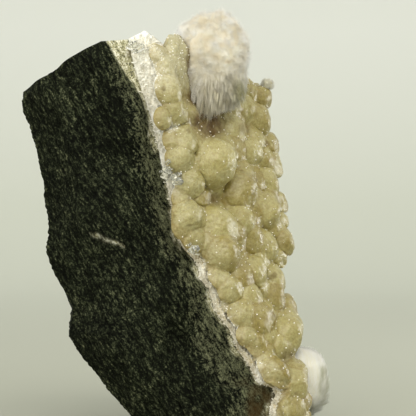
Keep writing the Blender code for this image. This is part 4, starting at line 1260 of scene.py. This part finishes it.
def growth_surface(ways, growth):
    """The matted body in given directions, and how far its tufts stand there.

    The body is direction * radii / (the sum of |direction|^boxy)^(1 / boxy) * (1 + lumps).
    On it stands the tallest tuft's cone, each length * (1 - angle / width); tufts are short
    above, long below and absent at the foot, and droop by a share of their height."""
    centre, radii, foot, tufts, seed, long_tuft, hang = growth
    heads, rng = tuft_heads(tufts, seed)
    below = smooth_step(0.35 - heads[:, 2])
    length = rng.uniform(0.45, 1.0, tufts) * (0.35 + 0.65 * below) * long_tuft
    width = rng.uniform(1.5, 2.3, tufts) / math.sqrt(tufts)
    angle = np.arccos(np.clip(ways @ heads.T, -1, 1))
    shag = (length * np.clip(1 - angle / width, 0, 1)).max(-1)
    shag = shag * smooth_step((0.25 - ways @ np.array(foot)) / 0.4)
    body = ((np.abs(ways) ** BOXY).sum(-1) ** (-1 / BOXY)
            * (1 + 0.035 * waves(ways * 9.0, seed + 40, 7.0)))
    points = ways * radii * body[..., None] + ways * shag[..., None]
    points[..., 2] -= hang * shag * smooth_step(0.5 - ways[..., 2])
    return points + centre, shag


def build_core(name, growth, material, node, rows, columns, sink):
    """The felt under the fibres: the growth's surface over latitude and longitude, sunk a
    little, with lumps of felt at two sizes."""
    ways = ball_points(rows, columns)
    points, shag = growth_surface(ways, growth)
    felt = 0.10 * grain(points, growth[4] + 60, 1.6) + 0.06 * grain(points, growth[4] + 61, 0.7)
    points = points + ways * (felt - sink)[:, None] - ways * (0.6 * shag)[:, None]
    mesh = mesh_of(name, points, grid_faces(rows, columns, closed=True), pole_faces(rows, columns))
    paint(mesh, tone=np.full(len(points), 0.35), **okenite_marks(points, growth))
    add_piece(name, mesh, material, node)


def clumps(points):
    """Relief of the puffball's mat, in millimetres: noise at two sizes, and the named lumps
    that show at its outline, each height * exp(-(distance / radius)^2)."""
    lumps = 0.42 * grain(points, 137, 3.6) + 0.20 * grain(points, 138, 1.6)
    for x, y, z, radius, height in MAT_LUMPS:
        away = np.linalg.norm(points - (x, y, z), axis=-1)
        lumps = lumps + height * np.exp(-(away / radius) ** 2)
    return lumps


def clump_slope(points, step=0.2):
    """How steeply the mat's relief rises along x, y and z."""
    level = clumps(points)
    return np.stack([clumps(points + step * axis) - level for axis in np.eye(3)], axis=-1) / step


def okenite_marks(points, growth):
    """Where the okenite is cream, grey and rusty, by the place on the growth in radii. The
    puffball is cream above, and more cream in the recesses of its mat as painted shade; grey
    at the lower right, partly where it thins out and partly as painted shade; greyer and more
    rust-coloured towards its bottom as painted shade; and rusty along its left foot and a
    crack. The lower ball is grey along its far and lower fringe, partly thin fibres letting
    the dark through and partly painted shade."""
    centre, radii = np.array(growth[0]), np.array(growth[1])
    local = (points - centre) / radii
    # painted shade: the mat's recesses are painted more cream, its lumps less
    mottle_and_recess_shade = 0.5 + 0.6 * grain(points, 111, 2.6) - 0.5 * clumps(points)
    cream = (0.45 + 0.55 * smooth_step((local[:, 2] + 0.55) / 0.9)) * smooth_step(mottle_and_recess_shade + 0.35)
    if growth is not GROWTHS["puffball"]:
        lower = float(growth is GROWTHS["lower"])
        # painted shade: the far and lower fringe is painted grey, partly thin fibres, partly
        # painted shade
        edge = smooth_step((local[:, 0] - 0.58) / 0.2) * smooth_step((0.6 - local[:, 2]) / 0.4)
        fringe = np.maximum(edge, smooth_step((-0.6 - local[:, 2]) / 0.3))
        fringe = fringe * smooth_step(0.75 + grain(points * (1.0, 1.0, 0.3), 113, 1.1))
        return {"cream": 0.12 * cream, "grey": 0.75 * lower * fringe + 0.25 * (1 - lower),
                "rust": np.full(len(points), 0.08 * (1 - lower))}
    # painted shade: the grey at the lower right is partly thin fibres and partly painted shade
    grey = (smooth_step((local[:, 0] - 0.45) / 0.35) * smooth_step((-0.25 - local[:, 2]) / 0.3)
            * smooth_step(0.9 - np.abs(local[:, 2] + 0.72) * 1.5))
    under = smooth_step((-0.72 - local[:, 2]) / 0.5)
    left = (smooth_step((-0.55 - local[:, 0]) / 0.3) * smooth_step((0.35 - local[:, 2]) / 0.4)
            * smooth_step((grain(points, 112, 2.2) + 0.25) / 0.5))
    x, z, half_long, half_wide = CRACK
    right = points[:, 0] - x
    crack = np.exp(-((right / half_long) ** 2
                     + ((points[:, 2] - z - 0.12 * right ** 2) / half_wide) ** 2))
    # painted shade: greyer towards the bottom, and greyer still under it
    shaded = 0.08 * smooth_step(0.3 - local[:, 2])
    # painted shade: the rust mark grows towards the bottom as painted shade; the left foot and the
    # crack are real stain
    rust = (0.85 * left + 0.26 * smooth_step(0.2 - local[:, 2])
            + 0.55 * crack * (points[:, 1] < centre[1]))
    return {"cream": cream, "grey": np.clip(grey + shaded + 0.1 * under, 0, 1),
            "rust": np.clip(rust, 0, 1)}


# One straight fibre is a triangle at the root and a tip; a bent one has a middle triangle.
NEEDLE_FACES = np.array([(0, 1, 3), (1, 2, 3), (2, 0, 3)])
HAIR_QUADS = np.array([(0, 1, 4, 3), (1, 2, 5, 4), (2, 0, 3, 5)])
HAIR_TIPS = np.array([(3, 4, 6), (4, 5, 6), (5, 3, 6)])


def fibre_ring(spots, ways, width, turn):
    """Three points round each spot, half a width off, along side * cos(turn) + other *
    sin(turn), where side and other lie across its way."""
    side = unit(np.cross(ways, unit(np.roll(ways, 1, axis=1) + (0.3, 0.1, 0.2))))
    other = np.cross(ways, side)
    turn = turn[:, None] + np.arange(3) * 2 * math.pi / 3
    return (spots[:, None] + (side[:, None] * np.cos(turn)[..., None]
                              + other[:, None] * np.sin(turn)[..., None]) * width / 2)


def needles(roots, tips, width, rng):
    """Straight fibres: a triangle round the root, and the tip."""
    turn = rng.uniform(0, 6.28, len(roots))
    ring = fibre_ring(roots, unit(tips - roots), width, turn)
    return np.concatenate([ring, tips[:, None]], axis=1)


def hairs(roots, middles, tips, width, rng):
    """Bent fibres: a triangle round the root, one round the middle, and the tip."""
    turn = rng.uniform(0, 6.28, len(roots))
    low = fibre_ring(roots, unit(middles - roots), width, turn)
    mid = fibre_ring(middles, unit(tips - roots), width * 0.8, turn)
    return np.concatenate([low, mid, tips[:, None]], axis=1)


def strewn(count, rng):
    """Directions strewn evenly at random."""
    return unit(rng.normal(size=(count, 3)))


def off_foot(ways, growth, edge=0.62):
    """Keep the directions that don't point into what the growth sits on."""
    return ways[ways @ np.array(growth[2]) < edge]


def gathered(tips, ways, locks, seed, pull):
    """Tips drawn together into locks: each tip goes part of the way to the mean tip of
    the lock whose direction is nearest. Also the lock of each."""
    heads = strewn(locks, np.random.default_rng(seed))
    owner = np.concatenate([np.argmax(part @ heads.T, axis=1)
                            for part in np.array_split(ways, 40)])
    counts = np.maximum(np.bincount(owner, minlength=locks), 1)[:, None]
    means = np.stack([np.bincount(owner, tips[:, i], locks) for i in range(3)], 1) / counts
    return tips + (means[owner] - tips) * pull, owner


def lay_of(points, ways, seed, size, down):
    """The way the mat is combed at each point: a slowly turning random direction plus a
    share straight down, laid flat on the surface."""
    drift = np.stack([grain(points, seed + i, size) for i in range(3)], axis=-1)
    drift = unit(drift) + np.array((0.0, 0.0, -1.0)) * np.asarray(down)[..., None]
    return unit(drift - ways * (drift * ways).sum(-1, keepdims=True))


def add_fibres(name, growth, facing, points, tones, faces, material):
    """A piece of many small forms, each with a tone of its own. Light goes from fibre to
    fibre in a mat, so that it shades as one soft surface: each form is given the way in
    which the mat faces there as its normal."""
    copies, size = points.shape[:2]
    mesh = mesh_of(name, points, *[repeated_faces(f, size, copies) for f in faces])
    mesh.normals_split_custom_set_from_vertices(np.repeat(facing, size, axis=0))
    marks = okenite_marks(points.mean(1), growth)
    paint(mesh, tone=np.repeat(tones, size),
          **{key: np.repeat(values, size) for key, values in marks.items()})
    add_piece(name, mesh, material)


def build_puffball(settings, material):
    """The mat of short fibres, combed in slowly turning locks with loose tufts that stand
    up from it, and the beard of longer hairs that hang from its lower edge. A fibre runs
    from its root along lay * (1 - stand) + out * stand, a little off it at random."""
    growth = GROWTHS["puffball"]
    build_core("puffball_felt", growth, material, "okenite_puffball", rows=96, columns=150,
               sink=0.75)
    rng = np.random.default_rng(121)
    ways = off_foot(strewn(int(settings.mat_fibres * 1.18), rng), growth)
    ways = ways[:settings.mat_fibres]
    points, shag = growth_surface(ways, growth)
    relief, slope = clumps(points), clump_slope(points)
    roots = points + ways * (relief - 0.45 - 0.5 * shag)[:, None]
    lay = lay_of(points, ways, seed=131, size=4.5, down=0.8 * smooth_step(0.6 - ways[:, 2]))
    stand = 0.14 + 0.10 * grain(points, 134, 3.0)
    loose = smooth_step((grain(points, 139, 2.2) - 0.22) / 0.25)
    upright = rng.random(len(ways)) < 0.20 + 0.6 * loose
    stand = np.where(upright, 0.8, stand)
    length = settings.fibre_length / MM * rng.uniform(0.55, 1.25, len(ways))
    length = length * (1 + (0.25 + 0.75 * loose) * upright)
    way = unit(lay * (1 - stand)[:, None] + ways * stand[:, None]
               + rng.normal(size=ways.shape)
               * (0.30 + 0.35 * smooth_step(ways[:, 2:3] + 0.5)))
    tips = roots + way * length[:, None]
    tips, owner = gathered(tips, ways, MAT_LOCKS, seed=135, pull=0.25)
    tufted = smooth_step(0.5 - ways[:, 2]) * 0.45 * grain(points, 136, 2.4)
    locks = 0.2 * rng.normal(size=MAT_LOCKS)[owner]
    # painted light and shade: tones are painted lighter on the mat's lumps and darker in its
    # recesses
    tones = np.clip(0.88 + 0.4 * loose + tufted + 0.5 * relief + locks
                    + rng.normal(scale=0.2, size=len(ways)), 0, 1)
    facing = unit(ways - 1.2 * (slope - ways * (slope * ways).sum(-1, keepdims=True))
                  + 0.2 * lay + rng.normal(scale=0.25, size=ways.shape))
    add_fibres("puffball_mat", growth, facing,
               needles(roots, tips, settings.fibre_width / MM, rng), tones,
               [NEEDLE_FACES], material)
    build_beard(growth, settings, material)


def build_beard(growth, settings, material):
    """Hairs gathered into pointed locks that hang from the puffball's lower half: out and
    down to the middle, then mostly down, longer on the left."""
    rng = np.random.default_rng(141)
    ways = strewn(settings.beard_fibres * 5, rng)
    low = ways[:, 2] < -0.15 - 0.75 * rng.random(len(ways))
    ways = off_foot(ways[low], growth, 0.5)[:settings.beard_fibres]
    points, _ = growth_surface(ways, growth)
    roots = points + ways * (np.maximum(clumps(points), 0.0) - 0.5)[:, None]
    length = rng.uniform(*BEARD_LENGTHS, len(ways))
    length = length * (1 + 1.1 * smooth_step((0.3 - ways[:, 0]) / 0.6)
                       * smooth_step((-0.35 - ways[:, 2]) / 0.3))
    middles = roots + unit(ways + (0, 0, -0.7)) * (length * 0.5)[:, None]
    tips = middles + unit(ways * 0.35 + (0, 0, -1.0)) * (length * 0.6)[:, None]
    tips, owner = gathered(tips, ways, BEARD_LOCKS, seed=142, pull=0.5)
    middles, _ = gathered(middles, ways, BEARD_LOCKS, seed=142, pull=0.3)
    tones = np.clip(0.8 + 0.25 * rng.normal(size=BEARD_LOCKS)[owner], 0, 1)
    facing = unit(ways * (1.0, 1.0, 0.3) + rng.normal(scale=0.25, size=ways.shape))
    add_fibres("puffball_beard", growth, facing,
               hairs(roots, middles, tips, settings.fibre_width / MM, rng), tones,
               [HAIR_QUADS, HAIR_TIPS], material)


def build_lower(settings, material):
    """The lower ball: fibres combed straight up from its bottom, in long narrow locks, with
    streaks of paler and darker ones round it."""
    growth = GROWTHS["lower"]
    build_core("lower_felt", growth, material, "okenite_lower", rows=60, columns=96, sink=0.7)
    rng = np.random.default_rng(151)
    ways = off_foot(strewn(40000, rng), growth, 0.8)[:LOWER_FIBRES]
    points, _ = growth_surface(ways, growth)
    roots = points - ways * 0.5
    up = unit(np.array((0, 0, 1.0)) - ways * ways[:, 2:3])
    way = unit(up * 0.8 + ways * 0.3 + rng.normal(scale=0.10, size=ways.shape))
    length = rng.uniform(*LOWER_LENGTHS, len(ways))
    tips = roots + way * length[:, None]
    tips, _ = gathered(tips, ways, LOWER_LOCKS, seed=152, pull=0.35)
    around = np.arctan2(ways[:, 1], ways[:, 0]) + 0.05 * grain(points, 153, 2.0)
    sector = np.floor(around * STREAKS_PER_RADIAN).astype(int) % LOWER_STREAKS
    streak = rng.uniform(0.4, 1.0, LOWER_STREAKS)[sector]
    tones = np.clip(streak + rng.normal(scale=0.12, size=len(ways)), 0, 1)
    facing = unit(ways + 0.2 * up + rng.normal(scale=0.08, size=ways.shape))
    add_fibres("lower_fibres", growth, facing,
               needles(roots, tips, settings.fibre_width / MM, rng), tones,
               [NEEDLE_FACES], material)


def build_tuft(settings, material):
    """The small tuft: thin fibres that stand straight out, gathered into a few locks."""
    growth = GROWTHS["tuft"]
    build_core("tuft_felt", growth, material, "okenite_tuft", rows=24, columns=36, sink=0.3)
    rng = np.random.default_rng(161)
    ways = off_foot(strewn(5000, rng), growth, 0.9)[:TUFT_FIBRES]
    points, _ = growth_surface(ways, growth)
    roots = points - ways * 0.3
    way = unit(ways + rng.normal(scale=0.4, size=ways.shape))
    tips = roots + way * rng.uniform(*TUFT_LENGTHS, (len(ways), 1))
    tips, owner = gathered(tips, ways, TUFT_LOCKS, seed=162, pull=0.4)
    tones = np.clip(0.6 + 0.2 * rng.normal(size=TUFT_LOCKS)[owner], 0, 1)
    add_fibres("tuft_fibres", growth, unit(ways + (0.0, 0.0, 0.4)),
               needles(roots, tips, settings.fibre_width * 0.7 / MM, rng), tones,
               [NEEDLE_FACES], material)


# ================================================================ stage
def sweep_points(columns=96):
    """The stage: a profile turned round the upright axis. It runs flat to a radius, then
    up a quarter circle, then up a wall."""
    flat = [(r, 0.0) for r in np.linspace(0.02, STAGE_FLAT, 14)]
    curve = [(STAGE_FLAT + STAGE_CURVE * math.sin(a), STAGE_CURVE * (1 - math.cos(a)))
             for a in np.linspace(0.05, math.pi / 2, 20)]
    wall = [(STAGE_FLAT + STAGE_CURVE, STAGE_CURVE + h) for h in np.linspace(0.02, STAGE_WALL, 5)]
    profile = np.array(flat + curve + wall)
    turn = np.arange(columns) * 2 * math.pi / columns
    return np.stack([profile[:, None, 0] * np.cos(turn), profile[:, None, 0] * np.sin(turn),
                     np.broadcast_to(profile[:, None, 1], (len(profile), columns))], axis=-1)


def build_sweep(material):
    """The profile's rings, closed at the middle of the floor."""
    points = sweep_points()
    rows, columns = points.shape[:2]
    spots = np.concatenate([points.reshape(-1, 3), [(0, 0, 0)]])
    ring = np.arange(columns)
    hub = np.stack([ring, (ring + 1) % columns, np.full(columns, rows * columns)], axis=1)
    rings = grid_faces(rows, columns, closed=True)[:, ::-1]
    mesh = mesh_of("paper_sweep", from_frame(spots), rings, hub)
    sweep = bpy.data.objects.new("paper_sweep", mesh)
    bpy.context.scene.collection.objects.link(sweep)
    mesh.materials.append(material)


def add_light(name, place, aim, size, power, hex_colour):
    """A soft square light at a place, facing a point."""
    lamp = bpy.data.lights.new(name, "AREA")
    lamp.shape = "SQUARE"
    lamp.size = size
    lamp.energy = power
    lamp.color = linear_rgb(hex_colour)
    holder = bpy.data.objects.new(name, lamp)
    bpy.context.scene.collection.objects.link(holder)
    holder.location = place
    heading = np.array(aim) - np.array(place)
    across = math.atan2(heading[0], -heading[1])
    down = math.atan2(math.hypot(heading[0], heading[1]), -heading[2])
    holder.rotation_euler = (down, 0.0, math.pi + across)
    holder.visible_camera = False


def add_camera():
    """A long lens that looks level along +y."""
    lens = bpy.data.cameras.new("view")
    lens.lens = CAMERA_LENS
    lens.sensor_width = 36.0
    lens.clip_start = 0.01
    lens.clip_end = 20.0
    camera = bpy.data.objects.new("view", lens)
    bpy.context.scene.collection.objects.link(camera)
    camera.location = CAMERA_PLACE
    camera.rotation_euler = (math.pi / 2, 0.0, 0.0)
    bpy.context.scene.camera = camera


def set_world(hex_colour, strength):
    """Even light of one colour from all round."""
    world = bpy.data.worlds.new("room")
    bpy.context.scene.world = world
    world.use_nodes = True
    back = world.node_tree.nodes["Background"]
    back.inputs["Color"].default_value = linear_rgba(hex_colour)
    back.inputs["Strength"].default_value = strength


# ================================================================ operators
class SPECIMEN_OT_basalt(bpy.types.Operator):
    """Build the broken block of basalt"""
    bl_idname = "specimen.basalt"
    bl_label = "Basalt block"

    def execute(self, context):
        settings = context.scene.specimen.basalt
        build_basalt(settings, broken_basalt(settings))
        return {"FINISHED"}


class SPECIMEN_OT_druse(bpy.types.Operator):
    """Build the sugary druse and the small crystals on it"""
    bl_idname = "specimen.druse"
    bl_label = "Druse"

    def execute(self, context):
        settings = context.scene.specimen.druse
        white = druse_material(settings)
        build_rind(settings, white)
        build_druse_points(settings, white)
        return {"FINISHED"}


class SPECIMEN_OT_crust(bpy.types.Operator):
    """Build the botryoidal crust, the sugar on its edge and the clear crystals in it"""
    bl_idname = "specimen.crust"
    bl_label = "Botryoidal crust"

    def execute(self, context):
        settings = context.scene.specimen.crust
        build_crust(settings, waxy_crust(settings), druse_material(context.scene.specimen.druse))
        build_crust_crystals(glassy_crystal())
        return {"FINISHED"}


class SPECIMEN_OT_okenite(bpy.types.Operator):
    """Build the okenite puffball, the lower ball and the small tuft"""
    bl_idname = "specimen.okenite"
    bl_label = "Okenite"

    def execute(self, context):
        settings = context.scene.specimen.okenite
        fibre = okenite_fibre(settings)
        build_puffball(settings, fibre)
        build_lower(settings, fibre)
        build_tuft(settings, fibre)
        return {"FINISHED"}


class SPECIMEN_OT_stage(bpy.types.Operator):
    """Set the paper sweep, the lights and the camera"""
    bl_idname = "specimen.stage"
    bl_label = "Stage"

    def execute(self, context):
        settings = context.scene.specimen.stage
        build_sweep(stage_paper(settings))
        for name, place, aim, size, hex_colour in LIGHTS:
            add_light(name, place, aim, size, getattr(settings, name + "_power"), hex_colour)
        set_world(ROOM_COLOUR, ROOM_STRENGTH)
        add_camera()
        context.scene.view_settings.view_transform = "Standard"
        return {"FINISHED"}


class SPECIMEN_PT_panel(bpy.types.Panel):
    """The specimen's settings and pieces"""
    bl_label = "Okenite specimen"
    bl_idname = "SPECIMEN_PT_panel"
    bl_space_type = "VIEW_3D"
    bl_region_type = "UI"
    bl_category = "Specimen"

    def draw(self, context):
        specimen = context.scene.specimen
        for part in OPERATORS:
            name = part.bl_idname.split(".")[1]
            box = self.layout.box()
            box.operator(part.bl_idname)
            group = getattr(specimen, name)
            for key in group.__annotations__:
                box.prop(group, key)


OPERATORS = (SPECIMEN_OT_basalt, SPECIMEN_OT_druse, SPECIMEN_OT_crust, SPECIMEN_OT_okenite,
             SPECIMEN_OT_stage)
CLASSES = (BasaltSettings, DruseSettings, CrustSettings, OkeniteSettings, StageSettings,
           SpecimenSettings, *OPERATORS, SPECIMEN_PT_panel)


def register():
    for made in CLASSES:
        bpy.utils.register_class(made)
    bpy.types.Scene.specimen = PointerProperty(type=SpecimenSettings)


def unregister():
    del bpy.types.Scene.specimen
    for made in reversed(CLASSES):
        bpy.utils.unregister_class(made)


def main():
    """Build the specimen and its stage."""
    register()
    bpy.ops.specimen.basalt()
    bpy.ops.specimen.druse()
    bpy.ops.specimen.crust()
    bpy.ops.specimen.okenite()
    bpy.ops.specimen.stage()


if __name__ == "__main__":
    main()
